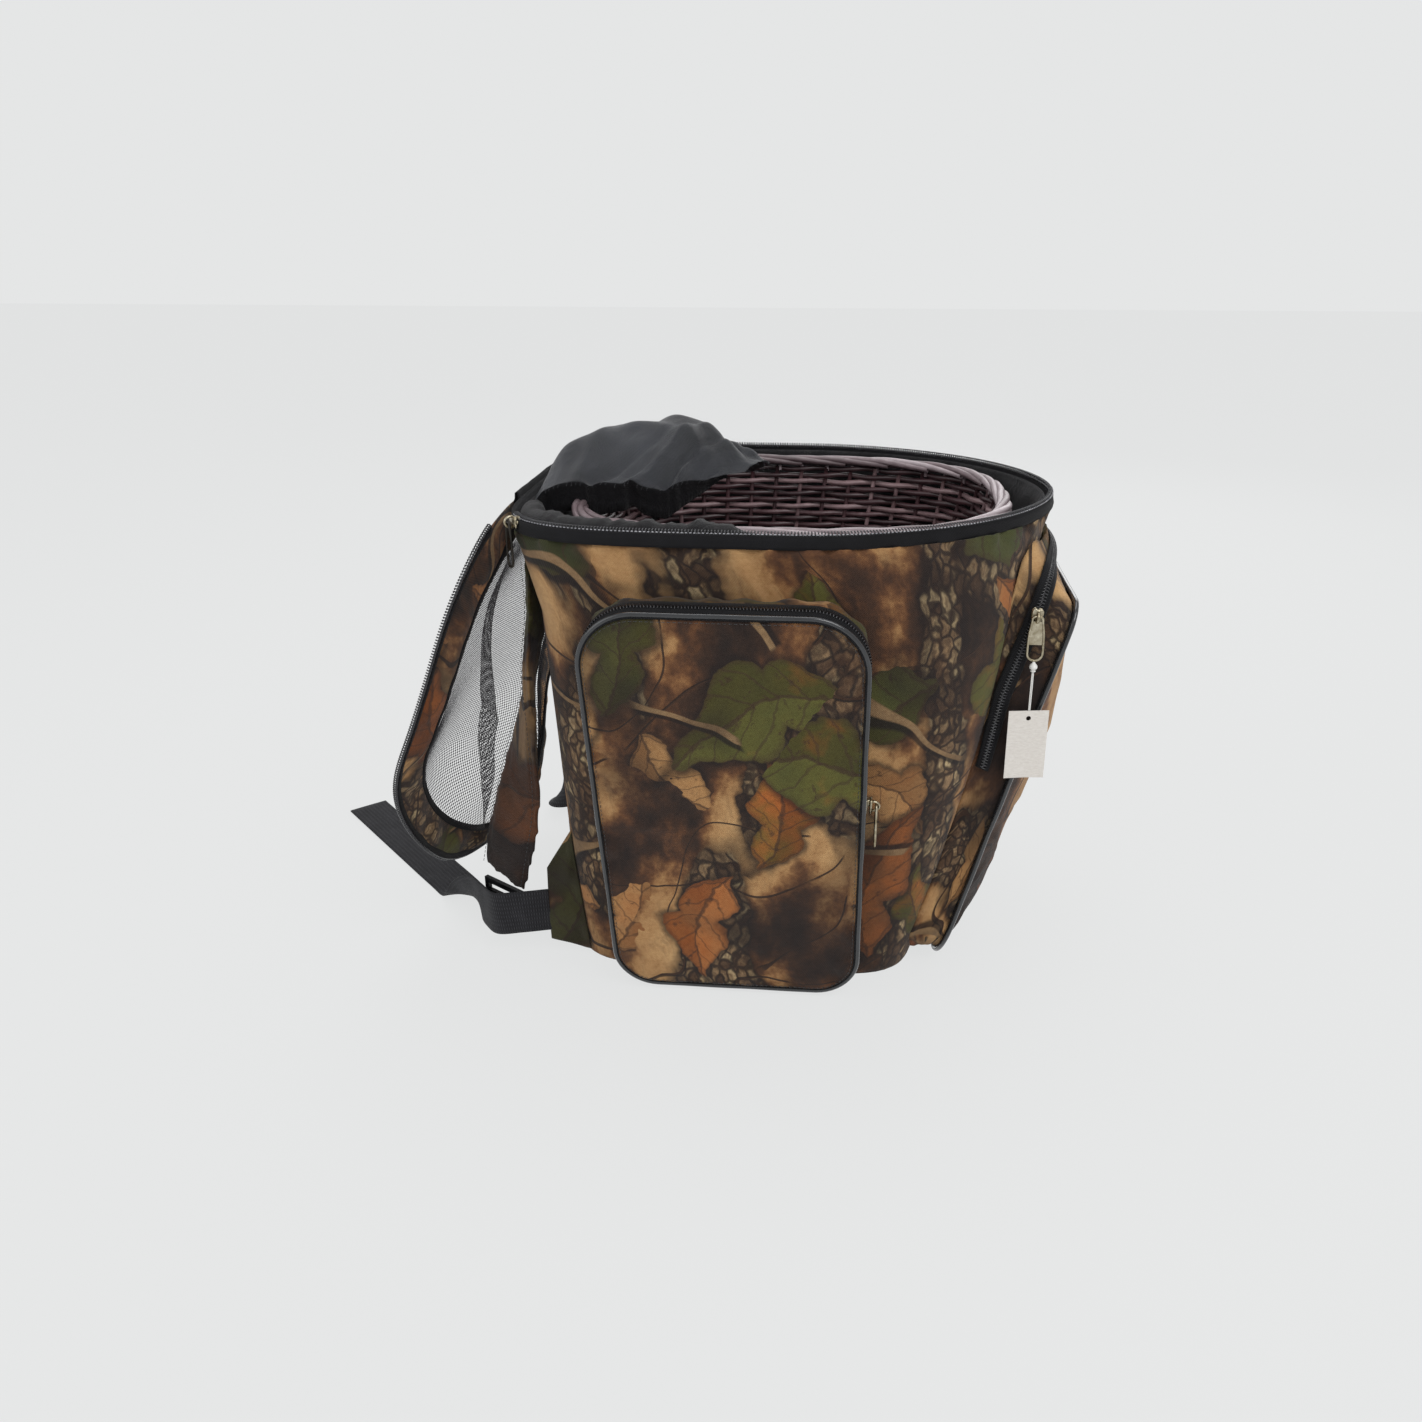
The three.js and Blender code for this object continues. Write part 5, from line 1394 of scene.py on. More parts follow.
def flap_skirt(rows):
    """The flap's turned-down left side, which tapers off towards the front; its dark cloth is partly the
    flap's dark underside and partly a painted shade for the deep shadow under the flap.
    """
    near = rows[:-2, 0]
    drops = []
    for share in (0.0, 0.12, 0.4, 0.7, 1.0):
        inward = SIDEWAYS * (6.0 * share + 3.0 * math.sin(3 * share))
        row = []
        for k, p in enumerate(near):
            taper = 0.15 + 0.85 * ramp(k / len(near), 1.0, 0.66)
            fall = FLAP["skirt"] * share * (1 + 0.2 * rough(p, 25, 9)) * taper
            row.append(p + inward * (1 + 0.4 * rough(p, 18, 3)) - UP * (fall - 0.2))
        drops.append(row)
    b = Builder()
    b.grid(drops)
    # Partly painted shade: this dark sheet stands in for the deep shadow under the flap's near side as well
    # as for its dark underside.
    piece = b.piece("lining_flap_underside", "bag", "grey_nylon", LINING)
    thicken(piece, CLOTH["flap"], 0.0)
    return piece


def flap():
    """The gathered flap with its frayed edge and its skirt."""
    steps = 90
    shares = np.arange(steps + 1) / steps
    rows = np.array([[flap_point(share, mix(-1, 1, t)) for t in shares] for share in shares])
    flat = [[(FLAP["half_width"] * mix(-1, 1, t), share * FLAP["length"], 200) for t in shares]
            for share in shares]
    b = Builder()
    b.grid(rows, flat)
    piece = b.piece("lining_flap_cloth", "bag", "grey_nylon", NYLON)
    thicken(piece, CLOTH["flap"], 0.0)
    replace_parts(piece, "lining_flap")
    fray, skirt = flap_fray(rows), flap_skirt(rows)
    for each in (piece, fray, skirt):
        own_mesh(each)


flap()


# Pockets. An outline lies on a pocket's own sheet: s runs along the wall, h is the height.
POCKET = {"panel": 2.4, "gusset": 2.2, "piping": 3.4, "cord": 1.9, "zip_width": 13.0, "zip_thickness": 1.6,
          "drift": 3.0, "step": 4.0}
SIDE = {
    "top": 320.0, "bottom": 8.0, "left": -98.0, "right": 95.0, "left_foot": -98.0, "right_foot": 85.0,
    "top_r": 38.0, "foot_r": 30.0, "depth": 30.0, "crown": 5.0, "zip_depth": 4.0, "rise": 7.0, "seat": 0.9,
    "zip_seat": 0.9, "zip_share": 0.62,
}
FRONT = {
    "top": 303.0, "bottom": 8.0, "left": -97.0, "right": 97.0, "left_foot": -108.0, "right_foot": 108.0,
    "top_r": 18.0, "foot_r": 28.0, "foot_depth": 18.0, "head_depth": 29.0, "crown": 33.0, "zip_depth": 24.0,
    "rise": 44.0, "seat": 2.8, "zip_seat": 1.5, "zip_share": 0.46,
}

# How full the front pocket's crown is at shares of its height.
FRONT_CROWN = [(0, 0.75), (0.2, 1), (0.62, 1), (0.85, 0.62), (1, 0.3)]

# The rings of a pocket's face, from just over its seam to near its middle.
FACE_SHARES = [
    1.015, 1.0, 0.985, 0.965, 0.94, 0.91, 0.88, 0.84, 0.8, 0.76, 0.71, 0.66, 0.61, 0.56, 0.5, 0.44,
    0.38, 0.32, 0.26, 0.2, 0.14, 0.08, 0.03,
]


def rounded_outline(size, step):
    """A closed outline with round corners, its points a fixed step apart, with outward directions."""
    corners = [(size["right_foot"], size["bottom"], size["foot_r"], -90),
               (size["right"], size["top"], size["top_r"], 0),
               (size["left"], size["top"], size["top_r"], 90),
               (size["left_foot"], size["bottom"], size["foot_r"], 180)]
    points = []
    for k, (s, h, r, start) in enumerate(corners):
        in_s = -r if k in (0, 1) else r
        in_h = -r if k in (1, 2) else r
        for a in np.radians(np.linspace(start, start + 90, 24)):
            points.append((s + in_s + r * math.cos(a), h + in_h + r * math.sin(a)))
    line = evenly(np.array(points), step, closed=True)
    d = np.roll(line, -1, 0) - np.roll(line, 1, 0)
    out = np.stack([d[:, 1], -d[:, 0]], 1)
    return line, out / np.linalg.norm(out, axis=1)[:, None]


class Pocket:
    """Where a pocket's face, side wall and zip lie. side is -1, 1 or 0 for left, right and front."""

    def __init__(self, side):
        self.side = side
        self.size = size = SIDE if side else FRONT
        self.outline, self.normals = rounded_outline(size, POCKET["step"])
        self.middle = ((size["left_foot"] + size["right_foot"]) / 2, (size["top"] + size["bottom"]) / 2)

    def sheet(self, s, h, out):
        """A point that stands out from the pocket's own flat sheet."""
        if self.side:
            return np.array([self.side * (oval(h)["half"] + SIDE["depth"] + out), s, h])
        share = h / FRONT["top"]
        nose = mix(-BASE_FRONT - BASE_SHIFT, wall_front(0, FRONT["top"]), share)
        return np.array([s, nose - mix(FRONT["foot_depth"], FRONT["head_depth"], share) - out, h])

    def wall(self, s, h, out):
        """The point of the bag's wall behind it."""
        if self.side:
            return np.array([self.side * (wall_x(s, h) + out), s, h])
        return np.array([s, wall_front(s, h) - out, h])

    def flat(self, s, h):
        return np.array([0, s, h]) if self.side else np.array([s, 0, h])

    def edge(self, grow, out, lowest=-math.inf):
        """The outline drawn on the sheet, grown and standing out by some, and kept above a height."""
        return [self.sheet(s + ns * grow, max(h + nh * grow, lowest), out)
                for (s, h), (ns, nh) in zip(self.outline, self.normals)]

    def facing(self):
        return np.array([self.side, 0, 0.12]) if self.side else np.array([0, -1.0, 0.1])

    def gusset(self, q, n, t, out):
        """A point of the side wall: t runs from the face, 0, to the bag, 1."""
        (s, h), (ns, nh) = q, n
        size = self.size
        up = max((h - size["bottom"]) / (size["top"] - size["bottom"]), 0) ** 2 * size["rise"]
        start = self.sheet(s, h, -POCKET["panel"] - FIT)
        end = self.wall(s + ns * POCKET["drift"], min(h + up, WALL_TOP - SEAM), size["seat"])
        at = mix(start, end, t) + self.flat(ns * out, nh * out)
        at[2] = max(at[2], FIT)
        return at

    def crown(self, share):
        return profile(FRONT_CROWN, share) if not self.side else 1.0

    def zip_band(self, q, n):
        """The shares of the side wall's depth between which the zip lies."""
        deep = np.linalg.norm(self.gusset(q, n, 0, 0) - self.gusset(q, n, 1, 0))
        far = self.size["zip_depth"] + POCKET["zip_width"]
        reach = min(far / deep, 0.97)
        return reach * self.size["zip_depth"] / far, reach

    def zip_run(self):
        """The outline's places that carry the zip, in order over the top."""
        foot = mix(self.size["top"], self.size["bottom"], self.size["zip_share"])
        keep = [i for i, q in enumerate(self.outline) if q[1] > foot]
        gap = next((k for k in range(1, len(keep)) if keep[k] - keep[k - 1] > 1), 0)
        return keep[gap:] + keep[:gap]


def face_slack(s, h, offset, dents):
    """How far a pocket's face stands off its crown: slack, ridges and dents where the cloth falls in."""
    slack = 2.6 * rough((s, h * 0.75, offset), 62, 2) + 1.3 * rough((s, h, offset), 27, 5)
    ridge = 1 - abs(rough((s + 0.5 * h, h * 0.8, offset), 48, 8)) * 7
    slack += 1.5 * max(ridge, 0)
    for at_s, at_h, width, deep in dents:
        slack -= deep * math.exp(-(((s - at_s) / width) ** 2) - ((h - at_h) / (1.5 * width)) ** 2)
    return slack


def seam_gather(s, h, i, offset):
    """Small gathers along a pocket's seam, at the outline's point i."""
    gather = 1.1 * math.sin(i * 0.74 + 2.5 * rough((s, h, offset), 50, 3))
    return gather + 0.5 * math.sin(i * 1.31 + 3 * rough((s, h, offset), 35, 6))


def pocket_face(name, p, offset, dents):
    """The pocket's face: crowned, slack and pulled in along its seam."""
    b = Builder()
    size = p.size
    rows, cloth = [], []
    for shrink in FACE_SHARES:
        f = min(shrink, 1.0)
        inward = 1 - f
        row, flat = [], []
        for i, (s, h) in enumerate(p.outline):
            ss, hh = mix(p.middle[0], s, f), mix(p.middle[1], h, f)
            share = (hh - size["bottom"]) / (size["top"] - size["bottom"])
            crown = size["crown"] * p.crown(share) * (1 - f ** 2.4)
            crown += 1.2 * seam_gather(s, h, i, offset) * bump(inward, 0.06, 0.05)
            crown += face_slack(ss, hh, offset, dents) * ramp(inward, 0.01, 0.16)
            row.append(p.sheet(ss, hh, crown - 1.6 if shrink > 1 else crown))
            flat.append((ss + offset, hh, offset * 0.1))
        rows.append(row)
        cloth.append(flat)
    b.grid(rows, cloth, closed=True)
    n = len(p.outline)
    last = len(b.points) - n
    b.add([np.mean(b.points[last:], 0)], [], [(p.middle[0] + offset, p.middle[1], offset * 0.1)])
    b.faces.extend([[last + i, last + (i + 1) % n, last + n] for i in range(n)])
    piece = recalculated(b.piece(name + "_face_cloth", "bag", "camo_cloth", CAMO))
    thicken(piece, CLOTH["pocket_face"])
    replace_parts(piece, name + "_panel")


def pocket_piping(name, p):
    """The glossy cord round a pocket's face, with the black lip it is sewn into and its thread."""
    grow = POCKET["piping"] + FIT - 1.6
    path = []
    for (s, h), (ns, nh) in zip(p.outline, p.normals):
        sway = 0.5 * rough((s, h, 0), 34, 3)
        path.append(p.sheet(s + ns * (grow + sway), max(h + nh * grow, 2.2), sway - POCKET["panel"] / 2))
    b = Builder()
    b.tube(path, POCKET["cord"], 12, closed=True, up=p.facing())
    piece = b.piece(name + "_piping_cord", "bag", "grey_piping", PIPING)
    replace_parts(piece, name + "_piping")
    b = Builder()
    b.grid([p.edge(grow, out, 0.9) for grow, out in ((-0.2, 0.6), (0.6, 0.2), (1.6, -1.6), (2.2, -3.4))],
           closed=True)
    thicken(recalculated(b.piece(name + "_piping_seam", "bag", "black_webbing", TAPE_CLOTH)), 0.5, 0.0)
    line = p.edge(-1.9, 1.25)
    faces = np.tile(p.facing(), (len(line) + 1, 1))
    stitches(name + "_piping_thread", "bag", np.array([*line, line[0]]), faces, 2.2, 1.5, 0.22, PIPING)


def pocket_side(name, p, offset):
    """The side wall, from the piping to the bag, tucked under the zip's tape."""
    zip_foot = mix(p.size["top"], p.size["bottom"], p.size["zip_share"]) - 6
    rows, cloth = [], []
    for t in (*np.linspace(0, 1, 15), 1.04):
        row = []
        for i, (q, n) in enumerate(zip(p.outline, p.normals)):
            off = 1.9 * rough((q[0], q[1], 60 * t + offset), 34, 4)
            off += 1.0 * rough((q[0], q[1], 60 * t), 16, 6)
            pucker = 1.2 * math.sin(i * 0.9 + 2 * rough((q[0], q[1], 0), 40, 1))
            off += pucker * bump(t, 1.0, 0.16) + 0.8 * pucker * bump(t, 0.0, 0.12)
            low, high = p.zip_band(q, n)
            zipped = ramp(t, low - 0.16, low) * ramp(t, high + 0.16, high) if q[1] > zip_foot else 0.0
            off = mix(off * ramp(t, 0.0, 0.1) - 0.4, -1.6, zipped)
            at = p.gusset(q, n, min(t, 1.0), off - 0.4)
            if t > 1:
                at = mix(at, p.wall(q[0] + n[0] * 2, min(q[1], WALL_TOP), -2.5), 0.5)
                at[2] = max(at[2], FIT)
            row.append(at)
        rows.append(row)
        cloth.append([(POCKET["step"] * i + offset, 60 * t + 500, 0) for i in range(len(row))])
    b = Builder()
    b.grid(rows, cloth, closed=True)
    piece = recalculated(b.piece(name + "_side_cloth", "bag", "camo_cloth", CAMO))
    thicken(piece, CLOTH["pocket_side"])
    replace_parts(piece, name + "_gusset")


def pocket_zip(name, p):
    """The zip's tape and its coil of hoops that lean to either side in turn."""
    places = [(p.outline[i], p.normals[i]) for i in p.zip_run()]
    bands = [p.zip_band(q, n) for q, n in places]
    top = p.size["zip_seat"] + POCKET["zip_thickness"] * 0.4
    edges = [(0, -0.02, -1.2), (0, 0.01, 0), (0.4, 0, 0.2), (0.6, 0, 0.2), (1, -0.01, 0), (1, 0.02, -1.2)]
    rows = [[p.gusset(q, n, mix(a, c, share) + nudge, top + out) for (q, n), (a, c) in zip(places, bands)]
            for share, nudge, out in edges]
    flat = [[(POCKET["step"] * k, 3.0 * index, 0) for k in range(len(places))] for index in range(len(rows))]
    b = Builder()
    b.grid(rows, flat)
    tape = recalculated(b.piece(name + "_zip_tape", "bag", "black_webbing", TAPE_CLOTH))
    thicken(tape, 0.7, 0.0)
    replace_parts(tape, name + "_zip")
    line = np.array([p.gusset(q, n, (a + c) / 2, top + 0.9) for (q, n), (a, c) in zip(places, bands)])
    out = np.array([p.flat(*n) for _, n in places])
    fine = evenly(line, 1.15)
    share = np.linspace(0, len(out) - 1, len(fine))
    faces = np.stack([np.interp(share, np.arange(len(out)), out[:, k]) for k in range(3)], 1)
    hoop = [(-0.6, -0.6), (0.9, 0.3), (2.3, 0.1), (2.6, -0.8)]
    coil = Builder()
    for k in range(1, len(fine) - 1):
        along = unit(fine[k + 1] - fine[k - 1])
        face = unit(faces[k])
        across = np.cross(along, face) * (1 if k % 2 else -1)
        coil.tube([fine[k] + across * w + face * lift for w, lift in hoop], 0.5, 5, up=along)
    coil.piece(name + "_zip_coil", "bag", "black_plastic", COIL)


POCKETS = {"left_pocket": Pocket(-1), "right_pocket": Pocket(1), "front_pocket": Pocket(0)}
DENTS = {
    "left_pocket": [(-55, 250, 26, 4.0), (40, 90, 34, 4.5), (10, 170, 40, 2.5)],
    "right_pocket": [(50, 240, 28, 4.0), (-30, 110, 36, 4.0)],
    "front_pocket": [(-45, 95, 30, 5.0), (35, 210, 36, 5.0), (20, 60, 24, 4.0)],
}
for index, (name, pocket) in enumerate(POCKETS.items()):
    pocket_face(name, pocket, 130.0 + 310.0 * index, DENTS[name])
    pocket_piping(name, pocket)
    pocket_side(name, pocket, 700.0 + 170.0 * index)
    pocket_zip(name, pocket)


# The basket, one body that lifts out.
BASKET = {"gap": 26.0, "back_gap": 30.0, "wall": 6.0, "floor": 6.0, "rim_drop": 6.0, "border": 7.0,
          "rise": 9.0}
BASKET_FOOT = 5.35 + LINING_WALL + 0.5
BORDER_TOP = HEIGHT - BASKET["rim_drop"]
BASKET_TOP = BORDER_TOP - BASKET["rise"] - FIT
STAKES = 46


def basket_ring(z, grow, count):
    """Points round the basket's wall at a height, evenly spread."""
    o = dict(oval(z, LINING_IN - BASKET["gap"] + grow))
    o["back"] -= BASKET["back_gap"] - BASKET["gap"]
    front, back = o["front_power"], o["back_power"]
    o["front_power"] = mix(front, (front + back) / 2, 0.4)
    o["back_power"] = mix(back, front, 0.5)
    return spread_round(oval_loop(o, z), count)


def basket_wall():
    """Upright stakes with single rods woven in front of one and behind the next."""
    per_stake = 4
    middle = -BASKET["wall"] / 2
    b = Builder()
    courses = np.arange(BASKET_FOOT + 3, BASKET_TOP + 1.0, 5.5)
    for k, z in enumerate(courses):
        ring = basket_ring(z, middle, STAKES * per_stake)
        path = []
        for i, (p, out) in enumerate(zip(ring, ring_out(ring))):
            phase = math.pi * i / per_stake + math.pi * (k % 2)
            wobble = 0.35 * rough((p[0], p[1], 9 * z), 14, k % 5)
            lift = 1.3 * rough((p[0], p[1], 31 * k), 36, 2) + 0.5 * math.sin(phase)
            path.append(p + out * (2.1 * math.cos(phase) + wobble) + UP * lift)
        radius = [2.45 + 0.4 * rough((p[0], p[1], 17 * k), 50, 4) for p in path]
        b.tube(path, radius, 6, closed=True, rod=k + 1.3)
    rings = [basket_ring(z, middle, STAKES) for z in np.linspace(BASKET_FOOT + 0.5, BASKET_TOP, 26)]
    for k in range(STAKES):
        b.tube([ring[k] for ring in rings], 2.0, 6, rod=len(courses) + k + 1)
    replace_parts(b.piece("basket_weave", "basket", "wicker", WICKER), "basket_wall")


def basket_base():
    """The woven base: rods across with rods woven round them from the middle."""
    b = Builder()
    count = 160
    z = BASKET_FOOT + BASKET["floor"] / 2
    ring = basket_ring(z, -9.0, count)
    middle = np.array([0, ring[:, 1].mean(), z])
    for k, share in enumerate(np.linspace(0.06, 1.0, 25)):
        path = middle + (ring - middle) * share
        path[:, 2] += 1.2 * np.cos(np.arange(count) * math.pi / 5 + math.pi * (k % 2))
        b.tube(path, 1.9 if share > 0.2 else 1.2, 6, closed=True, rod=501 + k)
    for k, p in enumerate(ring[::5]):
        b.tube([mix(middle, p, share) for share in (0.05, 0.35, 0.7, 1.02)], 1.5, 6, rod=526 + k)
    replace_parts(b.piece("basket_base_weave", "basket", "wicker", WICKER), "basket_base")


def basket_border():
    """A rolled border: each rod rises inside, lies along the rim over the others and goes down outside."""
    count, rods, reach = 360, 26, 50
    ring = basket_ring(BASKET_TOP, -BASKET["wall"] / 2, count)
    out = ring_out(ring)
    height = BORDER_TOP - BASKET["rise"] / 2
    wide, tall = BASKET["border"] - 2.6, BASKET["rise"] / 2 - 1.7
    b = Builder()
    for k in range(rods):
        path, radius = [], []
        for s in np.linspace(0, 1, 34):
            at = k * count / rods + s * reach
            i, after = int(at) % count, (int(at) + 1) % count
            p = mix(ring[i], ring[after], at - int(at))
            o = mix(out[i], out[after], at - int(at))
            angle = math.radians(mix(205, -35, s ** 1.05))
            sway = 1.7 * rough((p[0], p[1], 40 * k), 30, 5)
            lift = tall * math.sin(angle) - 0.2 + 0.4 * sway
            path.append(np.array([p[0], p[1], height + lift]) + o * ((wide + sway) * math.cos(angle)))
            radius.append(2.8 * (0.72 + 0.28 * math.sin(math.pi * min(max(s, 0.06), 0.94))))
        b.tube(path, radius, 8, rod=700 + k)
    for k in range(STAKES):
        i = int(k * count / STAKES)
        p, bent = ring[i], mix(ring[(i + 7) % count], ring[i], 0.2)
        b.tube([p - UP * 3, p + UP, p + out[i] * 1.5 + UP * 3.6, bent + UP * 4.2], 1.8, 6, rod=800 + k)
    b.tube([(x, y, height - 1.2) for x, y, _ in ring[::3]], 2.2, 8, closed=True, rod=760)
    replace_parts(b.piece("basket_border_rods", "basket", "wicker", WICKER_EDGE), "basket_border")


basket_wall()
basket_base()
basket_border()


# Straps and webbing.
STRAP = {"width": 60.0, "thickness": 10.0, "stand_off": 105.0, "seat": 0.8, "turn": 58.0, "anchor": 0.905}
LEFT_STRAP = [
    (0.93, 0, 0.865, 0), (0.68, 0.035, 0.77, 0), (0.47, 0.1, 0.66, 0.1), (0.36, 0.17, 0.53, 0.45),
    (0.3, 0.28, 0.37, 0.9), (0.33, 0.39, 0.26, 1), (0.37, 0.5, 0.15, 1),
]
RIGHT_STRAP = [
    (0.93, 0, 0.865, 0), (0.74, 0.035, 0.77, 0), (0.64, 0.1, 0.66, 0), (0.6, 0.12, 0.53, 0),
    (0.6, 0.13, 0.37, 0), (0.6, 0.14, 0.26, 0), (0.6, 0.15, 0.178, 0),
]
WEB = {"width": 38.0, "thickness": 1.6, "floor_gap": 0.5}
LEFT_WEB = [
    (0.905, 0.17, 1.1, 1), (0.945, 0.38, 1.08, 1), (0.935, 0.59, 1.0, 1), (0.79, 0.74, 0.9, 1),
    (0.655, 0.85, 0.85, 0.9), (0.492, 0.97, 0.56, 0.6), (0.333, 1.07, 0.22, 0.22), (0.159, 1.21, 0.04, 0),
    (-0.2, 1.62, 0.04, 0), (-0.62, 2.1, 0.04, 0), (-1.05, 2.59, 0.04, 0),
]
RIGHT_WEB = [
    (0.905, 0.17, 1.1, 1), (0.937, 0.38, 1.1, 1), (0.965, 0.53, 1.0, 0.95), (1.1, 0.65, 0.66, 0.65),
    (1.27, 0.59, 0.3, 0.28), (1.4, 0.37, 0.04, 0), (1.5, -0.08, 0.04, 0), (1.56, -0.63, 0.04, 0),
]
BACK_FOOT = BASE_BACK - BASE_SHIFT


def route(rows, steps):
    """Places, directions and leans along a smooth curve through a route's rows."""
    line = smooth_path(rows, steps)
    places = line[:, :3]
    along = np.gradient(places, axis=0)
    return places, along / np.linalg.norm(along, axis=1)[:, None], line[:, 3]


def strap_rows(side, steps):
    """A strap's places, each with its ways along, across and off its face."""
    seat = STRAP["seat"] + STRAP["thickness"] / 2
    rows = []
    for inward, out, up, turn in LEFT_STRAP if side < 0 else RIGHT_STRAP:
        z = up * HEIGHT
        x = STRAP["anchor"] * BASE_HALF - inward * STRAP["width"]
        rows.append((side * x, wall_back(0, z) + seat + out * STRAP["stand_off"], z, turn))
    made = []
    for at, along, lean in zip(*route(rows, steps)):
        a = math.radians(STRAP["turn"] * lean)
        across = np.array([side * math.cos(a), -math.sin(a), 0])
        across = unit(across - along * np.dot(across, along))
        made.append((at, along, across, unit(np.cross(along, across))))
    return made


def simulated(piece, cap, pressure, voxel):
    """Blows a closed cloth piece up with Blender's own cloth, by at most cap, and keeps the result."""
    scene = bpy.context.scene
    body = piece.parent
    piece.parent = None
    m = piece.modifiers.new("even", "REMESH")
    m.mode = "VOXEL"
    m.voxel_size = voxel
    bpy.context.view_layer.update()
    graph = bpy.context.evaluated_depsgraph_get()
    even = bpy.data.meshes.new_from_object(piece.evaluated_get(graph))
    piece.modifiers.clear()
    piece.data = even
    before = points_of(piece)
    cloth = piece.modifiers.new("cloth", "CLOTH")
    settings = cloth.settings
    settings.quality = 5
    settings.use_pressure = True
    settings.uniform_pressure_force = pressure
    settings.effector_weights.gravity = 0
    settings.tension_stiffness = 18
    settings.compression_stiffness = 12
    settings.bending_stiffness = 0.4
    cloth.collision_settings.use_collision = False
    cloth.point_cache.frame_end = 20
    for number in range(1, 21):
        scene.frame_set(number)
    graph = bpy.context.evaluated_depsgraph_get()
    move = points_of(piece.evaluated_get(graph)) - before
    piece.modifiers.clear()
    scene.frame_set(1)
    size = np.linalg.norm(move, axis=1)
    moved_to(piece, before + move * (np.minimum(size, cap) / np.maximum(size, 1e-6))[:, None])
    piece.data.update()
    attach(piece, body.name.split(":")[1])


def lay_out(piece, place):
    """Writes each point's place on the flat cloth; place takes and gives millimetres."""
    write_cloth(piece.data, [place(p) for p in points_of(piece)])
    piece.data.polygons.foreach_set("use_smooth", [True] * len(piece.data.polygons))


def pressed(piece, push):
    """Moves each point by what push gives for its place, in millimetres."""
    moved_to(piece, [p + push(p) for p in points_of(piece)])


def strap_pad(side, name):
    """A padded strap: a flat sleeve of cloth round foam, swollen by the cloth simulation, then sewn."""
    rows = strap_rows(side, 60)
    width, thick = STRAP["width"] / 2 - 1.5, STRAP["thickness"] / 2 - 1.6
    angles = [2 * math.pi * k / 24 for k in range(24)]
    section = [(width * powered(math.cos(a), 0.3), thick * powered(math.sin(a), 0.6)) for a in angles]
    loops = []
    for k, (at, along, across, face) in enumerate(rows):
        share = k / 60
        narrow = 1 - 0.1 * ramp(share, 0.88, 1.0) - 0.05 * ramp(share, 0.06, 0.0)
        flat = 1 - 0.35 * ramp(share, 0.93, 1.0)
        loops.append([at + across * (w * narrow) + face * (t * flat) for w, t in section])
    b = Builder()
    b.grid(loops, closed=True)
    b.close_ends(0, len(section))
    # The pad's print is darkened with painted shade, for the shadow of the lid.
    piece = recalculated(b.piece(name + "_strap_pad_cloth", "bag", "camo_cloth", CAMO_PAINTED_SHADE))
    simulated(piece, 1.4, 4.0, 0.0042)
    places, sides, faces = [np.array([row[k] for row in rows]) for k in (0, 2, 3)]

    def push(p):
        """Draws the pad in along its seams and lets the cloth between them wave."""
        k = int(np.argmin(np.linalg.norm(places - p, axis=1)))
        w, t = np.dot(p - places[k], sides[k]), np.dot(p - places[k], faces[k])
        seam = bump(abs(w), width - 6.0, 1.5)
        wave = 0.9 * rough((w, 6 * k, 3 * side), 16, 5) + 0.7 * rough((w * 0.4, 6 * k, side), 9, 6)
        sway = 0.5 * rough((6 * k, w, 0), 20, 3)
        return faces[k] * (wave * (1 - seam) - 0.55 * t * seam) + sides[k] * sway

    pressed(piece, push)
    lay_out(piece, lambda p: (p[0] + side * 300, p[2] + 1400, p[1] * 0.2))
    finer(piece)
    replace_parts(piece, name + "_strap_pad")
    sewn = rows[2:-1]
    out = np.array([row[3] for row in sewn])
    for edge, letter in ((-1, "a"), (1, "b")):
        line = np.array([at + across * edge * (width - 6) + face * (STRAP["thickness"] / 2 - 0.9)
                         for at, along, across, face in sewn])
        stitches(f"{name}_strap_thread_{letter}", "bag", line, out, 2.6, 1.5, 0.25, PIPING)


# The half of a strap of webbing's section: shares of half its width and of half its thickness.
RIBBON = [(-1, 0.55), (-0.97, 1), (-0.8, 1), (-0.4, 1), (0, 1), (0.4, 1), (0.8, 1), (0.97, 1), (1, 0.55)]


def ribbon(name, rows, width, thickness, swell=0.3):
    """A strap of webbing: rows hold place, across and face; its edges are rounded over."""
    section = [(w * width / 2, t * thickness / 2) for w, t in RIBBON]
    section += [(w, -t) for w, t in section[::-1]]
    loops, cloth = [], []
    for reach, (at, across, face) in zip(lengths(np.array([row[0] for row in rows])), rows):
        cup = swell * rough((reach, 0, 0), 45, 3)
        loops.append([at + across * w + face * (t + cup * (1 - (2 * w / width) ** 2)) for w, t in section])
        cloth.append([(reach, w, 0) for w, _ in section])
    b = Builder()
    b.grid(loops, cloth, closed=True)
    b.close_ends(0, len(section))
    return recalculated(b.piece(name, "bag", "black_webbing", WEBBING))


def web_rows(side, steps=150):
    """The webbing's places, each with its ways across and off its face, kept above the floor."""
    table = LEFT_WEB if side < 0 else RIGHT_WEB
    rows = [(side * across * BASE_HALF, BACK_FOOT + out * STRAP["stand_off"], up * WEB["width"], lean)
            for across, out, up, lean in table]
    made = []
    for at, along, lean in zip(*route(rows, steps)):
        a = math.radians(90 * min(max(lean, 0.0), 1.0))
        flat = side * unit((along[1], -along[0], 0))
        across = UP * math.sin(a) + flat * math.cos(a)
        across = unit(across - along * np.dot(across, along))
        at = at.copy()
        at[2] = max(at[2], WEB["width"] / 2 * abs(across[2]) + WEB["thickness"] / 2 + WEB["floor_gap"])
        made.append((at, across, unit(np.cross(along, across))))
    return made


def webbing(side, name):
    piece = ribbon(name + "_strap_webbing", web_rows(side), WEB["width"], WEB["thickness"])
    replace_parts(piece, name + "_webbing")


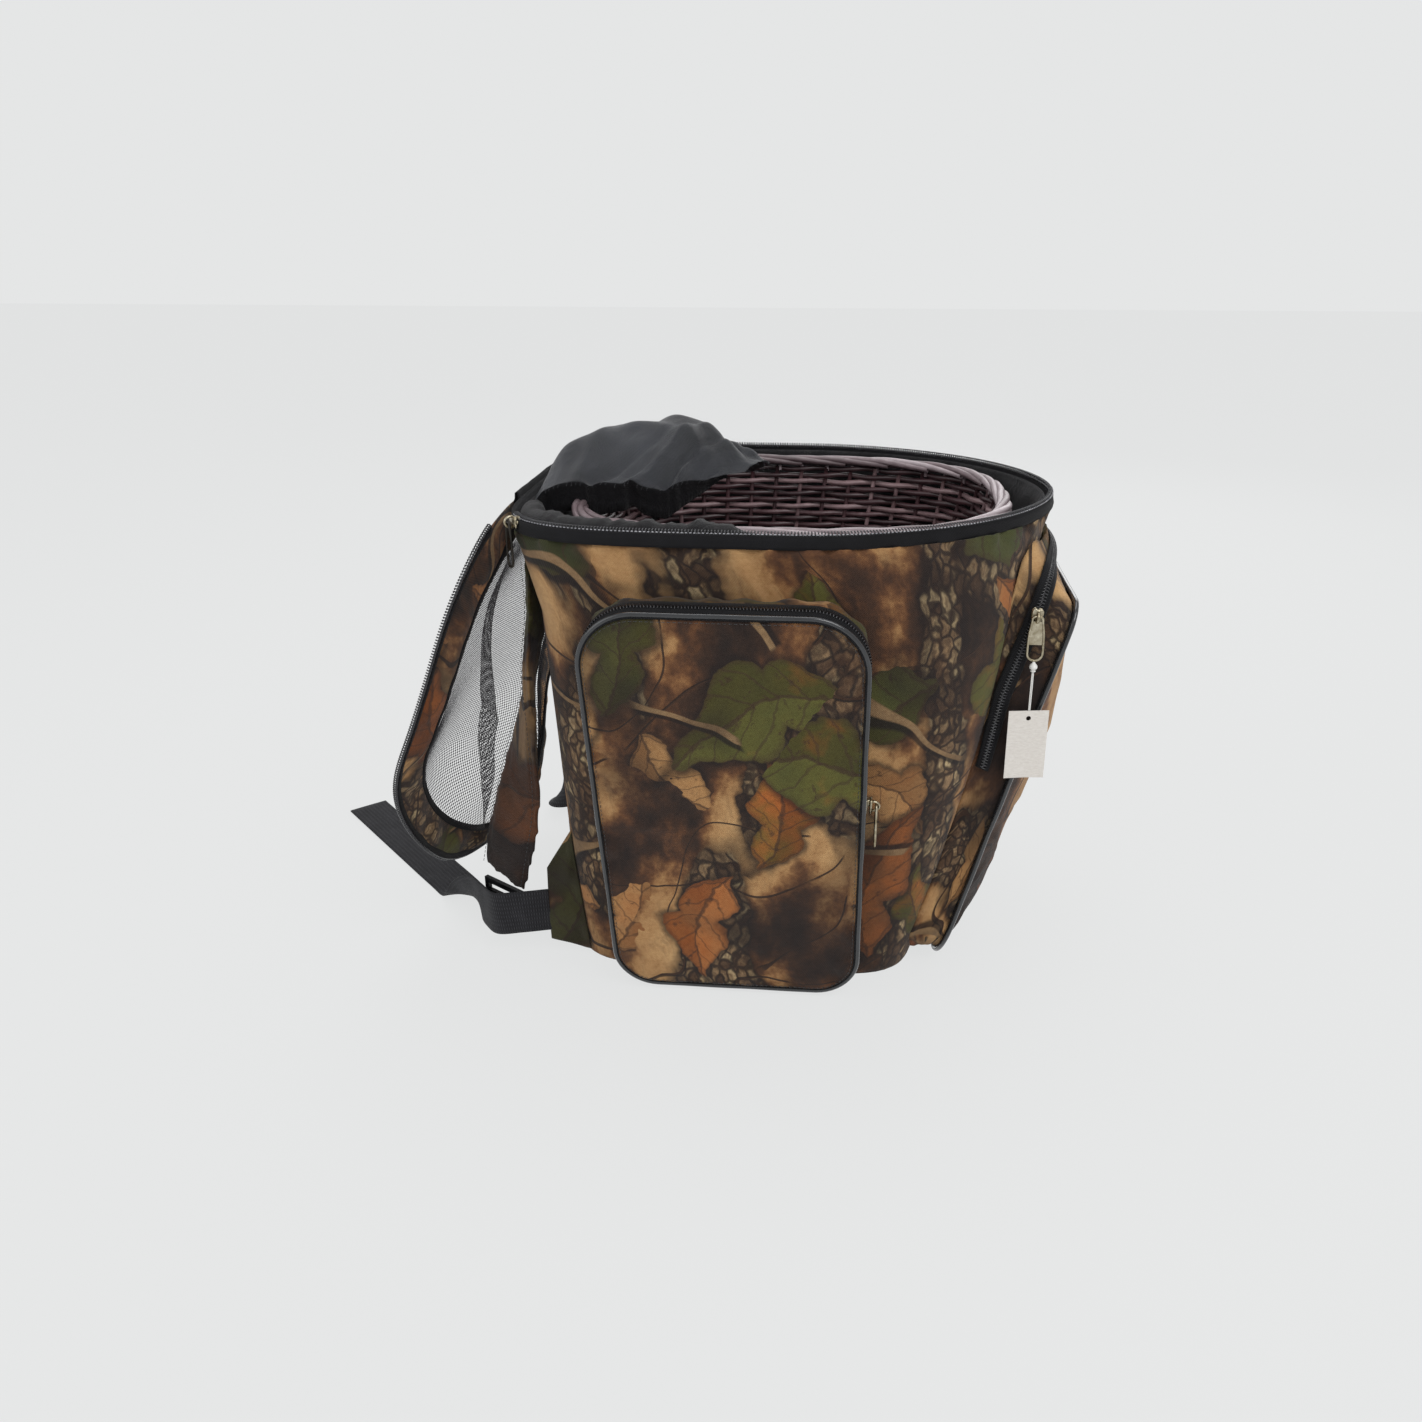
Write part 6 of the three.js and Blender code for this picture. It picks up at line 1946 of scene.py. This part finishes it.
def anchor_tab(side, name):
    """A doubled triangle of cloth, drawn in to the webbing, with creases that fan out from it."""
    x = LEFT_WEB[0][0] * BASE_HALF
    end = BACK_FOOT + LEFT_WEB[0][1] * STRAP["stand_off"] - SEAM - FIT
    n, m = 40, 44
    loops = []
    for i in range(n + 1):
        t = i / n
        inner, outer = [], []
        for j in range(m + 1):
            u = j / m
            wall_z = mix(6, 116, u)
            wall = wall_back(x - 2, wall_z) - 0.35
            y, z = mix(wall, end + 1.5, t), mix(wall_z, mix(14, 80, u), t)
            fan = math.sin(u * 15 + 1.3 * rough((u * 60, 10, 0), 20, 3)) * 2.0
            slack = 1.6 * rough((y, z, 20), 22, 3)
            thick = 1.5 * (1 - (2 * u - 1) ** 6) * (1 - 0.55 * t) + 0.25
            middle = side * (x - 0.5) + fan * ramp(t, 0.02, 0.3) * (1.15 - t) + slack * ramp(t, 0, 0.2)
            inner.append((middle - thick, y, z))
            outer.append((middle + thick, y, z))
        loops.append(inner + outer[::-1])
    b = Builder()
    b.grid(loops, [[(p[1] + 1100 * side, p[2], p[0] * 0.1) for p in loop] for loop in loops], closed=True)
    around = 2 * (m + 1)
    for start, flip in ((0, False), (len(b.points) - around, True)):
        for j in range(m):
            quad = [start + j, start + j + 1, start + around - 2 - j, start + around - 1 - j]
            b.faces.append(quad[::-1] if flip else quad)
    # The tab's print is darkened with painted shade, for the shadow it lies in.
    piece = recalculated(b.piece(name + "_anchor_cloth", "bag", "camo_cloth", CAMO_PAINTED_SHADE))
    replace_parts(piece, name + "_anchor_tab")


PAD = {"left": -92.0, "right": 92.0, "left_foot": -92.0, "right_foot": 92.0, "bottom": 26.0, "top": 272.0,
       "foot_r": 26.0, "top_r": 26.0}


def back_panel():
    """The pad behind: foam under cloth, with three sewn channels."""
    outline, _ = rounded_outline(PAD, 6.0)
    middle = (PAD["top"] + PAD["bottom"]) / 2
    shares = [1.0, 0.93, 0.82, 0.66, 0.48, 0.3, 0.12]
    loops = []
    for f, out in [(f, 0.8) for f in shares[::-1]] + [(f, 1.2 + 4.0 * (1 - f ** 6)) for f in shares]:
        places = [(s * 0.97 * f, mix(middle, h, 0.97 * f)) for s, h in outline]
        loops.append([(x, wall_back(x, z) + out, z) for x, z in places])
    b = Builder()
    b.grid(loops, closed=True)
    b.close_ends(0, len(outline))
    piece = recalculated(b.piece("back_pad_cloth", "bag", "camo_cloth", CAMO))
    simulated(piece, 2.0, 3.0, 0.0055)

    def push(p):
        """Sinks the channels and lets the cloth between them be slack."""
        front = ramp(p[1] - wall_back(p[0], p[2]), 2.5, 5.0)
        channel = max(bump(p[0], c, 2.6) for c in (-46, 0, 46)) * ramp(abs(p[2] - middle), 112, 100)
        edge = 1 - min(abs(p[0]) / PAD["right"], 1) ** 8
        return np.array([0, -2.6 * channel * front * edge + 0.7 * rough(p, 26, 4) * front, 0])

    pressed(piece, push)
    lay_out(piece, lambda p: (p[0] + 1900, p[2] + 200, p[1] * 0.1))
    finer(piece)
    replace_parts(piece, "back_panel")


def haul_loop():
    """The short handle at the top of the back, an arch of webbing that stands off the wall."""
    top = PAD["top"] + 24 + 12
    rows = []
    for k in range(49):
        a = math.pi * k / 48
        x, z = 19 * math.cos(a), top - 24 * math.sin(a)
        along = unit((-19 * math.sin(a), 0, -24 * math.cos(a)))
        place = np.array([x, wall_back(0, z) + 1.2 + SEAM + 6 * math.sin(a), z])
        rows.append((place, np.array([-along[2], 0, along[0]]), np.array([0.0, 1.0, 0.0])))
    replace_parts(ribbon("haul_loop_webbing", rows, 12, 2.0, 0.1), "haul_loop")


for side, name in ((-1, "left"), (1, "right")):
    strap_pad(side, name)
    webbing(side, name)
    anchor_tab(side, name)
    lock = frame["nodes"][name + "_ladder_lock"]
    lock.data.materials.clear()
    lock.data.materials.append(PLASTIC)
    round_edges(lock, 0.7)
back_panel()
haul_loop()


# Sliders and pulls.
SLIDER = {"length": 13.0, "width": 9.0, "height": 4.5, "bail": 5.0}
PULL = {"length": 32.0, "width": 11.0, "neck": 7.0}


def plate(b, outline, low, high, at, axes):
    """A flat plate from an outline in x and z of a frame, between two heights along its y."""
    x_axis, y_axis, z_axis = axes
    start = len(b.points)
    b.grid([[at + x_axis * (x * f) + z_axis * (z * f) + y_axis * y for x, z in outline]
            for f, y in ((0.9, low), (1.0, low + 0.3), (1.0, high - 0.35), (0.86, high))], closed=True)
    b.close_ends(start, len(outline))


def zip_slider(name, body, at, along, out, turned_bail):
    """A slider: two waisted plates, a bridge between them and a bail for the pull."""
    z_axis = unit(along)
    y_axis = unit(out - z_axis * np.dot(out, z_axis))
    x_axis = np.cross(y_axis, z_axis)
    axes = (x_axis, y_axis, z_axis)
    outline = []
    for i in range(40):
        a = 2 * math.pi * i / 40
        c, s = math.cos(a), math.sin(a)
        x = SLIDER["width"] / 2 * (0.66 + 0.34 * ramp(s, -0.9, 0.7)) * powered(c, 0.6)
        notch = 1.6 * bump(x, 0, 1.3) if s > 0.6 else 0
        outline.append((x, SLIDER["length"] / 2 * powered(s, 0.75) - notch))
    b = Builder()
    plate(b, outline, 2.1, 4.0, at, axes)
    plate(b, outline, -0.6, 0.7, at, axes)
    b.block(at + z_axis * 2.6 + y_axis * 1.4, (1.0, 1.0, 2.6), axes)
    way, across = (x_axis, z_axis) if turned_bail else (z_axis, x_axis)
    top = SLIDER["height"] + SLIDER["bail"] / 2
    hoop = [at - way * (3.9 * math.cos(a)) + y_axis * (3.4 + (top - 1.2) * math.sin(a) ** 0.7)
            for a in math.pi * np.linspace(0, 1, 15)]
    b.tube(hoop, 0.85, 8, up=across, flat=1.5)
    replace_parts(recalculated(b.piece(name + "_slider_body", body, "zip_metal", METAL)), name + "_slider")


def zip_pull(name, body, hinge, out, finish):
    """A pull: a long rimmed loop with a thin sunk plate above its open eye, hanging plumb from its hinge."""
    y_axis = unit((out[0], out[1], 0))
    x_axis = np.cross(y_axis, UP)
    w, neck = PULL["width"] / 2, PULL["neck"] / 2
    bottom = w - PULL["length"]
    outline = [(-neck + 0.6, 0.6), (-neck - 0.4, -4.0), (-w + 0.4, -12.0), (-w + 0.1, bottom + 5)]
    right = [(-x, z) for x, z in outline[::-1]]
    for a in np.linspace(math.pi, 2 * math.pi, 13):
        outline.append(((w - 0.1) * math.cos(a), bottom + (w - 0.1) * math.sin(a)))
    line = smooth_path([(x, 0, z) for x, z in outline + right], 90, closed=True)
    b = Builder()
    b.tube([hinge + x_axis * x + UP * z for x, _, z in line], 0.95, 10, closed=True, up=y_axis)
    b.tube([hinge + x_axis * x for x in (-neck + 0.4, -1, 1, neck - 0.4)], 0.75, 8, up=y_axis)
    rim = [(x * 0.86, z) for x, _, z in line[::3] if x < 0 and bottom + 4.5 < z < -2.0]
    rim.sort(key=lambda q: -q[1])
    for depth, flip in ((-0.35, True), (0.35, False)):
        b.grid([[hinge + x_axis * mix(x, -x, share) + UP * z + y_axis * depth
                 for share in np.linspace(0, 1, 5)] for x, z in rim], flip=flip)
    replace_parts(b.piece(name + "_pull_loop", body, "zip_metal", finish), name + "_pull")


# Each pull's joint says where it hangs, and its slider's joint which way the zip runs.
JOINTS = {joint["name"]: joint for joint in frame["joints"]}
for short in ("left", "right", "front", "mouth"):
    at_mouth = short == "mouth"
    name = short if at_mouth else short + "_pocket"
    swing = JOINTS[short + "_pull_swing"]
    hinge = np.array(swing["pos_m"]) / MM
    along = np.array(JOINTS[short + "_zip"]["axis"])
    out = unit(np.cross(along, UP if at_mouth else swing["axis"]))
    seat = hinge - out * (SLIDER["height"] + SLIDER["bail"] / 2)
    zip_slider(name, short + "_zip_slider", seat, along, out, at_mouth)
    zip_pull(name, short + "_zip_pull", hinge, out, METAL_DARK if at_mouth else METAL)
